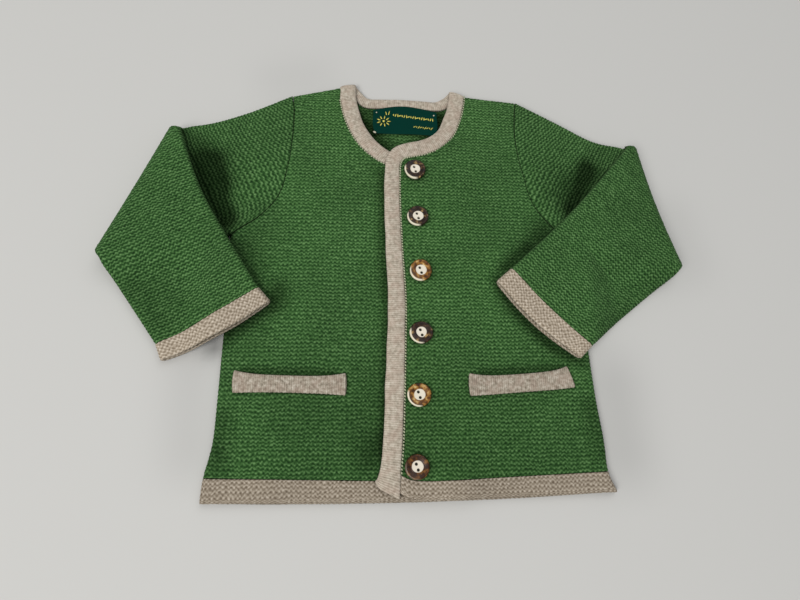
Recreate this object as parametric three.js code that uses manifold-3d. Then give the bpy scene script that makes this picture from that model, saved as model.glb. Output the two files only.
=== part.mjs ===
// A child's knit cardigan, fastened and laid flat on its back, with both sleeves folded
// over the fronts. Millimetres, +X to the wearer's left, +Y to the neck, +Z up. The origin
// is on the back's underside, on the centre line, where the garment rests.
import * as THREE from "three";
import { mergeVertices } from "three/addons/utils/BufferGeometryUtils.js";
import Module from "manifold-3d";

const { clamp, lerp, smoothstep, degToRad } = THREE.MathUtils;
const wasm = await Module();
wasm.setup();

// Cloth and seams
const wall = 3.0; // thickness of the garter knit
const seamGap = 0.3; // between pieces that are sewn or lie together
const armholeGap = 0.6; // the armhole and neck curves are cut in longer steps
const neckGap = 0.8;
const frontBase = wall + seamGap; // underside of the fronts, on the back
const frontTop = frontBase + wall;
const foldRadius = frontTop / 2; // roundness of the side seams and shoulders
const seamPress = 0.9; // a seam lies a little flatter than a half round
const seamPlaces = [0, 0.35 * foldRadius, foldRadius]; // across a rounded seam, from its edge

// The overlap of the fronts
const overlapRise = wall + seamGap; // the left front climbs over the right one
const rise = { clearX: 32, flatX: 58, fullY: 100, flatY: 130 };

// The hollow of the chest lifts the fronts a little
const loft = { height: 1.8, innerX: 18, crownX: 55, fallX: 88, outerX: 118 };
const loftRun = { low: -140, lowFull: -95, highFull: 85, high: 135 };

// Sleeves: a tube pressed flat, with a fold where the forearm turns back
const tubeGap = 0.8;
const tubeHeight = 2 * wall + tubeGap;
const foldCentre = 7.7; // height of the axis that the sleeve folds round
const capPuff = 2.6;
const drape = { drop: 8.3, start: 2, reach: 28 }; // the forearm sinks where nothing carries it
const cuffBow = 4.3; // the mouth of a cuff is cut round
const seamBow = 2; // and so is the seam that joins it
const flapShare = 0.85; // share of the upper arm that shows beside the forearm

// Knitted binding: one strip up the left front, round the neck and down the right front.
// x, y, z is its middle, turn the plan angle from its free edge to its sewn edge.
const bindingRoute = [
  { x: -16.8, y: -151.5, z: 8.6, turn: -29, width: 18.5, thick: 3.6 }, // left front's hem
  { x: -14.3, y: -137, z: 8.6, turn: -12, width: 14.2, thick: 4 },
  { x: -12.6, y: -119, z: 8.6, turn: -6, width: 13.8, thick: 4 },
  { x: -11.2, y: -91, z: 8.6, turn: -2, width: 13.5, thick: 4 },
  { x: -9.8, y: -55, z: 8.6, turn: 0, width: 13.2, thick: 4 },
  { x: -8.8, y: -20, z: 8.6, turn: 0, width: 12.8, thick: 4 },
  { x: -10.2, y: 15, z: 8.6, turn: 1, width: 12.3, thick: 4 },
  { x: -11.3, y: 55, z: 8.6, turn: 1, width: 12, thick: 4 },
  { x: -11, y: 80, z: 8.6, turn: 0, width: 11.8, thick: 4 },
  { x: -9.9, y: 92, z: 8.6, turn: -12, width: 12, thick: 4 },
  { x: -5.6, y: 99, z: 8.6, turn: -48, width: 12.6, thick: 4 }, // corner of the front and neck
  { x: 1.5, y: 102, z: 8.6, turn: -68, width: 13.2, thick: 4 },
  { x: 13.1, y: 105.2, z: 8.4, turn: -67, width: 13.4, thick: 4 },
  { x: 24.2, y: 111.5, z: 7.5, turn: -53, width: 13.4, thick: 4 },
  { x: 32.9, y: 121.4, z: 6, turn: -35, width: 13.4, thick: 4 },
  { x: 39.1, y: 136.3, z: 5.4, turn: -20, width: 13.2, thick: 4 },
  { x: 42.6, y: 150, z: 5.2, turn: -10, width: 12.8, thick: 3.4 },
  { x: 43.6, y: 157.8, z: 5.1, turn: -8, width: 12.4, thick: 3.2 }, // over the left shoulder
  { x: 43.4, y: 159.2, z: 4.6, turn: -16, width: 11.9, thick: 3.2 },
  { x: 42.8, y: 159.8, z: 3.4, turn: -30, width: 11.4, thick: 3.2 },
  { x: 42, y: 159.3, z: 2.2, turn: -42, width: 10.9, thick: 3.2 },
  { x: 40.8, y: 158, z: 1.7, turn: -50, width: 10.4, thick: 3.2 },
  { x: 35.6, y: 153, z: 1.7, turn: -55, width: 9.6, thick: 3.2 },
  { x: 27.5, y: 149.2, z: 1.7, turn: -74, width: 9, thick: 3.2 },
  { x: 14.6, y: 149.3, z: 1.7, turn: -89, width: 8.8, thick: 3.2 }, // across the back neck
  { x: -2.3, y: 149.3, z: 1.7, turn: -90, width: 8.8, thick: 3.2 },
  { x: -19, y: 148.9, z: 1.7, turn: -92, width: 8.8, thick: 3.2 },
  { x: -31, y: 149.3, z: 1.7, turn: -107, width: 9, thick: 3.2 },
  { x: -38.4, y: 155.2, z: 1.7, turn: -124, width: 9.8, thick: 3.2 },
  { x: -42.8, y: 160, z: 1.7, turn: -133, width: 10.4, thick: 3.2 }, // over the right shoulder
  { x: -44.2, y: 161.7, z: 2.2, turn: -143, width: 10.9, thick: 3.2 },
  { x: -45.2, y: 162.4, z: 3.4, turn: -156, width: 11.4, thick: 3.2 },
  { x: -45.8, y: 161.9, z: 4.6, turn: -170, width: 11.9, thick: 3.2 },
  { x: -46.1, y: 160.4, z: 5.1, turn: -179, width: 12.4, thick: 3.2 },
  { x: -45.6, y: 148, z: 5.3, turn: -170, width: 12.9, thick: 3.8 },
  { x: -42, y: 132.7, z: 5.4, turn: -163, width: 13.2, thick: 4 },
  { x: -36.7, y: 119.5, z: 5.4, turn: -152, width: 13.3, thick: 4 },
  { x: -29.7, y: 108.9, z: 5.4, turn: -139, width: 13.3, thick: 4 },
  { x: -21.3, y: 101.3, z: 5, turn: -130, width: 13, thick: 3.3 },
  { x: -13, y: 96, z: 4.8, turn: -124, width: 12.3, thick: 3 }, // under the left front
  { x: -2, y: 90, z: 4.8, turn: -117, width: 12.3, thick: 3 },
  { x: 9, y: 84.8, z: 4.8, turn: -120, width: 12.3, thick: 3 },
  { x: 17.5, y: 78, z: 4.8, turn: -138, width: 12.3, thick: 3 },
  { x: 21.6, y: 67, z: 4.8, turn: -168, width: 12.3, thick: 3 },
  { x: 22, y: 40, z: 4.8, turn: -180, width: 12.3, thick: 3 },
  { x: 22, y: -20, z: 4.8, turn: -180, width: 12.3, thick: 3 },
  { x: 22, y: -80, z: 4.8, turn: -180, width: 12.3, thick: 3 },
  { x: 22, y: -138, z: 4.8, turn: -180, width: 12.3, thick: 3 },
  { x: 22, y: -156.5, z: 4.8, turn: -180, width: 12.3, thick: 3 }, // right front's hem
];
const bindingRow = { leftHem: 0, leftShoulder: 19, rightShoulder: 31, rightHem: 48 };
const bindingSteps = 2; // rings between two rows of the route
const bindingEdge = 0.4; // share of its thickness where its edges stand upright

// Sections of the fronts, from the hem's edge to the shoulder. route is the row of the
// binding that the section starts at; x, y is the side seam or armhole where it ends.
const leftFrontSections = [
  { route: 0, x: 141, y: -153.5 },
  { route: 0.62, x: 136, y: -140 }, // seam of the hem band
  { route: 2, x: 135.4, y: -118 },
  { route: 3, x: 133.2, y: -90 },
  { route: 4, x: 131.9, y: -55 },
  { route: 5, x: 130.6, y: -19 },
  { route: 6, x: 129.5, y: 15 },
  { route: 6.4, x: 128.6, y: 29 }, // underarm
  { route: 6.7, x: 112.5, y: 42 },
  { route: 7.1, x: 99.5, y: 60 },
  { route: 8, x: 93.8, y: 84 },
  { route: 10.6, x: 90.8, y: 104 },
  { route: 12.6, x: 90, y: 121 },
  { route: 14.6, x: 90.9, y: 137.5 },
  { route: 17.8, x: 92.9, y: 154 }, // shoulder
];
const rightFrontSections = [
  { route: 48, x: -135.2, y: -155 },
  { route: 47.35, x: -134.2, y: -139.6 }, // seam of the hem band
  { route: 46.7, x: -130.2, y: -118 },
  { route: 46.2, x: -129.4, y: -90 },
  { route: 45.6, x: -129, y: -55 },
  { route: 45, x: -128.6, y: -19 },
  { route: 44.4, x: -130, y: 15 },
  { route: 44.1, x: -128.4, y: 28.4 }, // underarm
  { route: 43.8, x: -110, y: 43 },
  { route: 43.2, x: -96.2, y: 60.8 },
  { route: 42.2, x: -90.8, y: 84 },
  { route: 40.2, x: -88.6, y: 104 },
  { route: 37.8, x: -87.9, y: 121 },
  { route: 35.6, x: -88.3, y: 137.5 },
  { route: 32.9, x: -89.9, y: 150.2 }, // shoulder
];
const hemSeam = 1; // number of the section where the hem band is joined
const underarm = 7; // number of the section at the underarm
const lastSection = leftFrontSections.length - 1;
const sectionHeight = 14; // of the first and the last section, near enough
const hemBow = 3; // the back's hem hangs lower in the middle

// Sleeve sections from the armhole to the cuff. The edge that runs on from the shoulder is
// topX, topY and the underarm edge is lowX, lowY. The upper arm lies on the table, and
// the forearm rows give the place where it lies after the fold.
const sleeves = {
  left: {
    side: 1,
    sections: leftFrontSections,
    upper: [
      { topX: 92.9, topY: 154, lowX: 128.6, lowY: 29 },
      { topX: 125.5, topY: 136.5, lowX: 158, lowY: 22.5 },
      { topX: 156, topY: 120, lowX: 184, lowY: 17 },
      { topX: 183.6, topY: 115.2, lowX: 205.4, lowY: 10 },
    ],
    forearm: [
      { topX: 182.6, topY: 112, lowX: 206.7, lowY: 2.5 },
      { topX: 129.2, topY: 53, lowX: 172.8, lowY: -22.6 },
      { topX: 76, topY: 3.4, lowX: 130.7, lowY: -54.6 },
    ],
    cuff: { topX: 64.4, topY: -6.6, lowX: 121.4, lowY: -63.2 },
  },
  right: {
    side: -1,
    sections: rightFrontSections,
    upper: [
      { topX: -89.9, topY: 150.2, lowX: -128.4, lowY: 28.4 },
      { topX: -120, topY: 134, lowX: -157, lowY: 23 },
      { topX: -148, topY: 122.4, lowX: -186, lowY: 18 },
      { topX: -171.8, topY: 117.2, lowX: -211.4, lowY: 11.4 },
    ],
    forearm: [
      { topX: -171.5, topY: 111.4, lowX: -214.4, lowY: 4.6 },
      { topX: -151.9, topY: 62.3, lowX: -201, lowY: -14.5 },
      { topX: -130, topY: 24.4, lowX: -187.2, lowY: -33.4 },
      { topX: -105.6, topY: -14.2, lowX: -172.8, lowY: -53.2 },
    ],
    cuff: { topX: -96.9, topY: -24, lowX: -168.3, lowY: -64.2 },
  },
};

// Trims: corners of each pocket welt, middle of each button, and the neck label
const weltThick = 2.2;
const weltGap = 0.4; // the welt's facets and the front's lie apart
const pocketWelts = {
  right: { lowX: -119.3, highX: -44.2, lowY: -87.3, highY: -73.3, slant: -0.033 },
  left: { lowX: 40.9, highX: 116, lowY: -86.2, highY: -72.1, slant: 0.063 },
};
const buttons = [
  { x: 6.6, y: 84.3 },
  { x: 7.6, y: 44.5 },
  { x: 8.7, y: 1.3 },
  { x: 7.9, y: -45 },
  { x: 5.4, y: -88.3 },
  { x: 2.9, y: -134.9 },
];
const button = { radius: 8.15, rim: 1.2, back: 4.2, height: 3.5, dish: 3.8, dishDepth: 0.6, bevel: 0.6 };
const buttonHole = { radius: 0.8, apart: 3.4 };
const label = { width: 50, height: 24, bow: 4, thick: 0.8, x: 0.6, y: 132.2, z: 3.7 };

const greenKnit = new THREE.MeshStandardMaterial({ color: 0x44683a, roughness: 0.95, metalness: 0 });
const beigeKnit = new THREE.MeshStandardMaterial({ color: 0xb1a593, roughness: 0.95, metalness: 0 });
const antler = new THREE.MeshStandardMaterial({ color: 0x8a6a45, roughness: 0.4, metalness: 0 });
const woven = new THREE.MeshStandardMaterial({ color: 0x0d3a2c, roughness: 0.7, metalness: 0 });

// All the columns of a table at a place between its rows, by a smooth cubic. knots gives
// the place of each row.
function smoothRow(rows, knots, place) {
  const last = rows.length - 1;
  let i = 0;
  while (i < last - 1 && place > knots[i + 1]) i += 1;
  const span = knots[i + 1] - knots[i];
  const f = clamp((place - knots[i]) / span, 0, 1);
  const slope = (j, key) => {
    const before = Math.max(j - 1, 0);
    const after = Math.min(j + 1, last);
    return (rows[after][key] - rows[before][key]) / (knots[after] - knots[before]);
  };
  const row = {};
  for (const key of Object.keys(rows[0])) {
    const bend = f * (1 - f) * span;
    const straight = lerp(rows[i][key], rows[i + 1][key], f * f * (3 - 2 * f));
    row[key] = straight + bend * ((1 - f) * slope(i, key) - f * slope(i + 1, key));
  }
  return row;
}

const evenKnots = (rows) => rows.map((row, i) => i);
const steps = (from, to, count) => {
  return Array.from({ length: count + 1 }, (_, i) => lerp(from, to, i / count));
};
const routeKnots = [0];
for (let i = 1; i < bindingRoute.length; i += 1) {
  const [a, b] = [bindingRoute[i - 1], bindingRoute[i]];
  routeKnots.push(routeKnots[i - 1] + Math.hypot(b.x - a.x, b.y - a.y, b.z - a.z));
}

// The binding at a row of its route: its middle, the direction across it to its sewn edge,
// and the direction out of its face
function bindingAt(route) {
  const whole = Math.min(Math.floor(route), bindingRoute.length - 2);
  const place = lerp(routeKnots[whole], routeKnots[whole + 1], route - whole);
  const row = smoothRow(bindingRoute, routeKnots, place);
  const [a, b] = [place - 0.2, place + 0.2].map((p) => smoothRow(bindingRoute, routeKnots, p));
  const along = new THREE.Vector3(b.x - a.x, b.y - a.y, b.z - a.z).normalize();
  const turn = degToRad(row.turn);
  const across = new THREE.Vector3(Math.cos(turn), Math.sin(turn), 0);
  const out = new THREE.Vector3().crossVectors(across, along).normalize();
  return { middle: new THREE.Vector3(row.x, row.y, row.z), across, out, row };
}

function sewnEdge(route) {
  const { middle, across, row } = bindingAt(route);
  return middle.addScaledVector(across, row.width / 2 + neckGap);
}

// Turns a grid of top points and a grid of bottom points into one closed slab
function slab(top, bottom) {
  const rows = top.length;
  const columns = top[0].length;
  const points = [...top.flat(), ...bottom.flat()];
  const at = (layer, i, j) => layer * rows * columns + i * columns + j;
  const faces = [];
  const quad = (a, b, c, d) => faces.push(a, b, c, a, c, d);
  for (let i = 0; i < rows - 1; i += 1) {
    for (let j = 0; j < columns - 1; j += 1) {
      quad(at(0, i, j), at(0, i, j + 1), at(0, i + 1, j + 1), at(0, i + 1, j));
      quad(at(1, i, j), at(1, i + 1, j), at(1, i + 1, j + 1), at(1, i, j + 1));
    }
    const end = columns - 1;
    quad(at(0, i, 0), at(0, i + 1, 0), at(1, i + 1, 0), at(1, i, 0));
    quad(at(0, i, end), at(1, i, end), at(1, i + 1, end), at(0, i + 1, end));
  }
  for (let j = 0; j < columns - 1; j += 1) {
    const end = rows - 1;
    quad(at(0, 0, j), at(1, 0, j), at(1, 0, j + 1), at(0, 0, j + 1));
    quad(at(0, end, j), at(0, end, j + 1), at(1, end, j + 1), at(1, end, j));
  }
  return closedGeometry(points, faces);
}

// Joins rings of points into a tube. With inner rings it is open at both ends, and
// without them its ends are closed flat.
function tube(outer, inner = []) {
  const count = outer[0].length;
  const points = [...outer.flat(), ...inner.flat()];
  const faces = [];
  const at = (ring, j) => ring * count + (j % count);
  const band = (a, b) => {
    for (let j = 0; j < count; j += 1) {
      faces.push(at(a, j), at(a, j + 1), at(b, j + 1), at(a, j), at(b, j + 1), at(b, j));
    }
  };
  const last = outer.length - 1;
  for (let i = 0; i < last; i += 1) band(i, i + 1);
  if (inner.length) {
    for (let i = 0; i < last; i += 1) band(last + 2 + i, last + 1 + i);
    band(last, 2 * last + 1);
    band(last + 1, 0);
  } else {
    for (let j = 1; j < count - 1; j += 1) {
      faces.push(at(0, 0), at(0, j + 1), at(0, j));
      faces.push(at(last, 0), at(last, j), at(last, j + 1));
    }
  }
  return closedGeometry(points, faces);
}

// A geometry with its faces turned out, whichever way its points run
function closedGeometry(points, faces) {
  let volume = 0;
  for (let i = 0; i < faces.length; i += 3) {
    const [a, b, c] = [faces[i], faces[i + 1], faces[i + 2]].map((index) => points[index]);
    volume += a.dot(new THREE.Vector3().crossVectors(b, c));
  }
  if (volume < 0) faces.reverse();
  const geometry = new THREE.BufferGeometry().setFromPoints(points);
  geometry.setIndex(faces);
  geometry.computeVertexNormals();
  return geometry;
}

// How far a rounded seam falls below the flat cloth at a distance from its edge
function seamFall(distance, radius = foldRadius) {
  const inside = clamp(radius - distance, 0, radius);
  return (radius - Math.sqrt(radius * radius - inside * inside)) * seamPress;
}

// Height that the fronts gain over the chest, and the left one over the overlap
function frontLift(x, y, side) {
  const out = x * side;
  const acrossChest = smoothstep(out, loft.innerX, loft.crownX)
    * (1 - smoothstep(out, loft.fallX, loft.outerX));
  const alongChest = smoothstep(y, loftRun.low, loftRun.lowFull)
    * (1 - smoothstep(y, loftRun.highFull, loftRun.high));
  return loft.height * acrossChest * alongChest;
}

function overlapLift(x, y, side) {
  if (side < 0) return 0;
  const overFront = 1 - smoothstep(x, rise.clearX, rise.flatX);
  return overlapRise * overFront * (1 - smoothstep(y, rise.fullY, rise.flatY));
}

function frontHeight(x, y, side) {
  return frontTop + frontLift(x, y, side) + overlapLift(x, y, side);
}

// A point of a front's plan: u from the binding out to the side, v from the hem's edge up,
// counted in sections
function frontPlan(sections, u, v) {
  const whole = Math.min(Math.floor(v), sections.length - 2);
  const routes = lerp(sections[whole].route, sections[whole + 1].route, v - whole);
  const { x, y } = smoothRow(sections, evenKnots(sections), v);
  return sewnEdge(routes).setZ(0).lerp(new THREE.Vector3(x, y, 0), u);
}

// Places across a section: close together near the side seam, where the cloth turns over
function acrossFront(width, columns) {
  const nearSeam = seamPlaces.map((distance) => 1 - distance / width).reverse();
  const rest = Array.from({ length: columns }, (_, j) => (j / columns) * nearSeam[0]);
  return [...rest, ...nearSeam];
}

// One front, or its hem band, between two places up its sections
function frontPiece(sections, side, places, columns) {
  const top = [];
  const bottom = [];
  for (const v of places) {
    const width = frontPlan(sections, 0, v).distanceTo(frontPlan(sections, 1, v));
    const toShoulder = (lastSection - v) * sectionHeight;
    const sideSeam = 1 - smoothstep(v, underarm - 0.5, underarm + 0.5);
    const topRow = [];
    const bottomRow = [];
    for (const u of acrossFront(width, columns)) {
      const p = frontPlan(sections, u, v);
      const lift = frontLift(p.x, p.y, side) + overlapLift(p.x, p.y, side);
      const fall = Math.max(seamFall((1 - u) * width) * sideSeam, seamFall(toShoulder));
      topRow.push(new THREE.Vector3(p.x, p.y, frontTop + lift - fall));
      bottomRow.push(new THREE.Vector3(p.x, p.y, frontBase + lift));
    }
    top.push(topRow);
    bottom.push(bottomRow);
  }
  return slab(top, bottom);
}

const hemPlaces = [0, hemSeam - seamGap / sectionHeight];
const shoulderEdge = [0.24, 0.08, 0]; // sections from the end, where the shoulder turns over
const armholePlaces = steps(underarm - 1, lastSection - 4, 6);
const panelPlaces = [
  ...steps(hemSeam, underarm - 2, 4), // the straight sides
  ...armholePlaces,
  ...steps(lastSection - 4, lastSection - shoulderEdge[0], 9).slice(1, -1), // beside the neck
  ...shoulderEdge.map((inside) => lastSection - inside),
];
const backPlaces = [hemSeam, 3, 5, ...armholePlaces, 11, 12, 13, ...panelPlaces.slice(-3)];

// The back: straight sections between the side seams, with its top edge along the
// shoulders and under the neck binding
function backPlan(u, v) {
  const straight = backSection(u, v);
  straight.y -= hemBow * (1 - (2 * u - 1) ** 2) * (1 - smoothstep(v, 0, underarm));
  const pull = smoothstep(v, underarm + 1, lastSection);
  return straight.addScaledVector(backTop(u).sub(backSection(u, lastSection)), pull);
}

function backSection(u, v) {
  const knots = evenKnots(leftFrontSections);
  const right = smoothRow(rightFrontSections, knots, v);
  const left = smoothRow(leftFrontSections, knots, v);
  return new THREE.Vector3(lerp(right.x, left.x, u), lerp(right.y, left.y, u), 0);
}

const neckEdge = 0.22; // share of the back's top edge that each shoulder takes
function backTop(u) {
  const neckU = clamp((u - neckEdge) / (1 - 2 * neckEdge), 0, 1);
  const { leftShoulder, rightShoulder } = bindingRow;
  const neck = sewnEdge(lerp(rightShoulder, leftShoulder, neckU)).setZ(0);
  const tip = u < 0.5 ? rightFrontSections.at(-1) : leftFrontSections.at(-1);
  const fromTip = clamp(Math.min(u, 1 - u) / neckEdge, 0, 1);
  return new THREE.Vector3(tip.x, tip.y, 0).lerp(neck, fromTip);
}

function backPiece(places, columns) {
  const top = [];
  const bottom = [];
  for (const v of places) {
    const width = backPlan(0, v).distanceTo(backPlan(1, v));
    const nearSeam = seamPlaces.map((distance) => distance / width);
    const shoulder = steps(nearSeam[2], neckEdge, 4).slice(1);
    const neck = steps(neckEdge, 1 - neckEdge, columns).slice(1, -1);
    const middle = [...shoulder, ...neck, ...shoulder.map((f) => 1 - f).reverse()];
    const across = [...nearSeam, ...middle, ...nearSeam.map((f) => 1 - f).reverse()];
    const sideSeam = 1 - smoothstep(v, underarm - 0.5, underarm + 0.5);
    const toShoulder = (lastSection - v) * sectionHeight;
    const plan = across.map((u) => backPlan(u, v));
    const lift = across.map((u) => {
      const shoulder = Math.min(u, 1 - u) < neckEdge ? seamFall(toShoulder) : 0;
      return Math.max(seamFall(Math.min(u, 1 - u) * width) * sideSeam, shoulder);
    });
    top.push(plan.map((p) => new THREE.Vector3(p.x, p.y, wall)));
    bottom.push(plan.map((p, i) => new THREE.Vector3(p.x, p.y, Math.min(lift[i], wall - seamGap))));
  }
  return slab(top, bottom);
}

// The armhole edge of a sleeve, from the shoulder tip at 0 to the underarm at 1
function armhole(sleeve, t) {
  const knots = evenKnots(sleeve.sections);
  const last = sleeve.sections.length - 1;
  const place = (p) => {
    const { x, y } = smoothRow(sleeve.sections, knots, lerp(last, underarm, clamp(p, 0, 1)));
    return new THREE.Vector3(x, y, 0);
  };
  const along = place(t + 0.02).sub(place(t - 0.02)).normalize();
  const out = new THREE.Vector3(-along.y, along.x, 0).multiplyScalar(sleeve.side);
  return place(t).addScaledVector(out, armholeGap);
}

// Both edges of a sleeve at a station: 0 to 1 the upper arm, 1 to 2 the fold and 2 to 3
// the forearm, with the cuff beyond 3
function sleeveEdges(sleeve, station) {
  const { upper, forearm, cuff } = sleeve;
  const toPoints = (row) => ({
    top: new THREE.Vector3(row.topX, row.topY, 0),
    low: new THREE.Vector3(row.lowX, row.lowY, 0),
  });
  if (station <= 1) {
    return toPoints(smoothRow(upper, evenKnots(upper), station * (upper.length - 1)));
  }
  if (station >= 3) {
    const joint = toPoints(forearm.at(-1));
    const end = toPoints(cuff);
    return { top: joint.top.lerp(end.top, station - 3), low: joint.low.lerp(end.low, station - 3) };
  }
  if (station >= 2) {
    return toPoints(smoothRow(forearm, evenKnots(forearm), (station - 2) * (forearm.length - 1)));
  }
  const before = toPoints(upper.at(-1));
  const after = toPoints(forearm[0]);
  return { top: before.top.lerp(after.top, station - 1), low: before.low.lerp(after.low, station - 1) };
}

// How far the folded forearm sinks at a place that neither the body nor the upper sleeve
// is under
function drapeDrop(sleeve, x, y) {
  const armpit = sleeve.upper[0];
  const elbow = sleeve.upper.at(-1);
  const run = clamp((x - armpit.lowX) / (elbow.lowX - armpit.lowX), 0, 1);
  const belowSleeve = lerp(armpit.lowY, elbow.lowY, run) - y;
  const besideBody = (x - armpit.lowX) * sleeve.side - drape.start;
  return drape.drop * smoothstep(Math.min(belowSleeve, besideBody), 0, drape.reach);
}

// A point of the sleeve: station along it, t across it from its top edge, and its height
// in the flat tube
function sleevePoint(sleeve, station, t, height) {
  const { top, low } = sleeveEdges(sleeve, station);
  const plan = top.clone().lerp(low, t);
  if (station < 1) {
    const straight = new THREE.Vector3(
      lerp(sleeve.upper[0].topX, sleeve.upper[0].lowX, t),
      lerp(sleeve.upper[0].topY, sleeve.upper[0].lowY, t),
      0,
    );
    plan.addScaledVector(armhole(sleeve, t).sub(straight), (1 - station) ** 2);
    const ownLayer = smoothstep(height, wall + 0.1, wall + tubeGap - 0.1);
    const toFlap = clamp(station / Math.max(flapShare * (1 - t), 0.05), 0, 1);
    const puff = capPuff * Math.sin(Math.PI * toFlap) * Math.sin(Math.PI * clamp(t, 0, 1));
    return plan.setZ(height + puff * ownLayer);
  }
  const fold = sleeve.upper.at(-1);
  const out = new THREE.Vector3(fold.topY - fold.lowY, fold.lowX - fold.topX, 0);
  out.normalize().multiplyScalar(sleeve.side);
  const radius = foldCentre - height;
  if (station <= 2) {
    const angle = (station - 1) * Math.PI;
    plan.addScaledVector(out, radius * Math.sin(angle));
    return plan.setZ(foldCentre - radius * Math.cos(angle));
  }
  const { forearm, cuff } = sleeve;
  const run = new THREE.Vector3(cuff.topX - forearm.at(-1).topX, cuff.topY - forearm.at(-1).topY, 0);
  const bow = station > 3 ? lerp(seamBow, cuffBow, station - 3) : seamBow * (station - 2) ** 2;
  plan.addScaledVector(run.normalize(), bow * Math.sin(Math.PI * clamp(t, 0, 1)));
  return plan.setZ(foldCentre + radius - drapeDrop(sleeve, plan.x, plan.y));
}

// Section of a flat tube: the lower layer, the turn at the underarm, the upper layer and
// the turn at the top edge
function flatRing(inset, layerSteps, arcSteps) {
  const radius = tubeHeight / 2 - inset;
  const ring = steps(0, 1, layerSteps).map((share) => ({ share, reach: 0, height: inset }));
  for (const angle of steps(-Math.PI / 2, Math.PI / 2, arcSteps).slice(1, -1)) {
    const height = tubeHeight / 2 + radius * Math.sin(angle);
    ring.push({ share: 1, reach: radius * Math.cos(angle), height });
  }
  const upperLayer = steps(1, 0, layerSteps).map((share) => {
    return { share, reach: 0, height: tubeHeight - inset };
  });
  ring.push(...upperLayer);
  for (const angle of steps(Math.PI / 2, -Math.PI / 2, arcSteps).slice(1, -1)) {
    const height = tubeHeight / 2 + radius * Math.sin(angle);
    ring.push({ share: 0, reach: -radius * Math.cos(angle), height });
  }
  return ring;
}

function sleevePiece(sleeve, stations) {
  const ringOf = (inset) => stations.map((station) => {
    const { top, low } = sleeveEdges(sleeve, station);
    const width = top.distanceTo(low);
    const end = tubeHeight / 2;
    return flatRing(inset, 6, 4).map(({ share, reach, height }) => {
      const across = lerp(end, width - end, share) + reach;
      return sleevePoint(sleeve, station, across / width, height);
    });
  });
  return tube(ringOf(0), ringOf(wall));
}
const sleeveStations = [...steps(0, 1, 7), ...steps(1, 2, 6).slice(1), ...steps(2, 3, 8).slice(1)];
const cuffStations = [3.03, 3.5, 4];

// The binding: a flat strip with rounded edges along its route
function bindingPiece() {
  const rings = [];
  for (const route of steps(0, bindingRow.rightHem, bindingRow.rightHem * bindingSteps)) {
    const { middle, across, out, row } = bindingAt(route);
    const [a, b] = [row.width / 2, row.thick / 2];
    const section = [[a, -bindingEdge * b], [a, bindingEdge * b], [a - b, b], [b - a, b]];
    const ring = [...section, ...section.map(([s, h]) => [-s, -h])];
    rings.push(ring.map(([s, h]) => {
      return middle.clone().addScaledVector(across, s).addScaledVector(out, h);
    }));
  }
  return tube(rings);
}

// A pocket welt lies on its front, and its lower edge slants a little with the cloth
function weltPiece({ lowX, highX, lowY, highY, slant }, side) {
  const layer = (up) => steps(0, 1, 2).map((v) => {
    return steps(0, 1, 9).map((u) => {
      const x = lerp(lowX, highX, u);
      const y = lerp(lowY, highY, v) + slant * (x - (lowX + highX) / 2);
      return new THREE.Vector3(x, y, frontHeight(x, y, side) + weltGap + up);
    });
  });
  return slab(layer(weltThick), layer(0));
}

function labelPiece() {
  const layer = (up) => steps(-1, 1, 2).map((v) => {
    return steps(-1, 1, 8).map((u) => {
      const y = label.y + v * label.height / 2 + label.bow * (0.5 - u * u);
      return new THREE.Vector3(label.x + u * label.width / 2, y, label.z + up);
    });
  });
  return slab(layer(label.thick), layer(0));
}

// Joins and cuts need plain solids: shared points, and no faces that shrank to a line
function toSolid(geometry, place) {
  const plain = new THREE.BufferGeometry();
  plain.setAttribute("position", geometry.getAttribute("position").clone());
  plain.setIndex(geometry.index.clone());
  const merged = mergeVertices(plain.applyMatrix4(place), 1e-4);
  const faces = [];
  for (let k = 0; k < merged.index.count; k += 3) {
    const [a, b, c] = merged.index.array.slice(k, k + 3);
    if (a !== b && b !== c && a !== c) faces.push(a, b, c);
  }
  return new wasm.Manifold(new wasm.Mesh({
    numProp: 3,
    vertProperties: merged.getAttribute("position").array,
    triVerts: new Uint32Array(faces),
  }));
}

function fromSolid(solid) {
  const mesh = solid.getMesh();
  const geometry = new THREE.BufferGeometry();
  geometry.setAttribute("position", new THREE.BufferAttribute(mesh.vertProperties, 3));
  geometry.setIndex([...mesh.triVerts]);
  geometry.computeVertexNormals();
  return geometry;
}

// A button sawn from antler: domed back, dished face and two holes
function buttonPiece() {
  const { radius, rim, back, height, dish, dishDepth, bevel } = button;
  const profile = [
    [0, 0], [back, 0], [radius - bevel, rim], [radius, rim + bevel], [radius, height - bevel],
    [radius - bevel, height], [dish + bevel, height], [dish, height - dishDepth], [0, height - dishDepth],
  ].map(([r, z]) => new THREE.Vector2(r, z));
  const turned = new THREE.LatheGeometry(profile, 18);
  let solid = toSolid(turned, new THREE.Matrix4().makeRotationX(Math.PI / 2));
  for (const side of [-1, 1]) {
    const hole = new THREE.CylinderGeometry(buttonHole.radius, buttonHole.radius, 3 * height, 8);
    const place = new THREE.Matrix4().makeRotationX(Math.PI / 2);
    place.setPosition(0, side * buttonHole.apart / 2, 0);
    solid = solid.subtract(toSolid(hole, place));
  }
  return fromSolid(solid);
}

const group = new THREE.Group();
function add(name, geometry, material) {
  const mesh = new THREE.Mesh(geometry, material.clone());
  mesh.name = name;
  group.add(mesh);
  return mesh;
}

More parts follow.
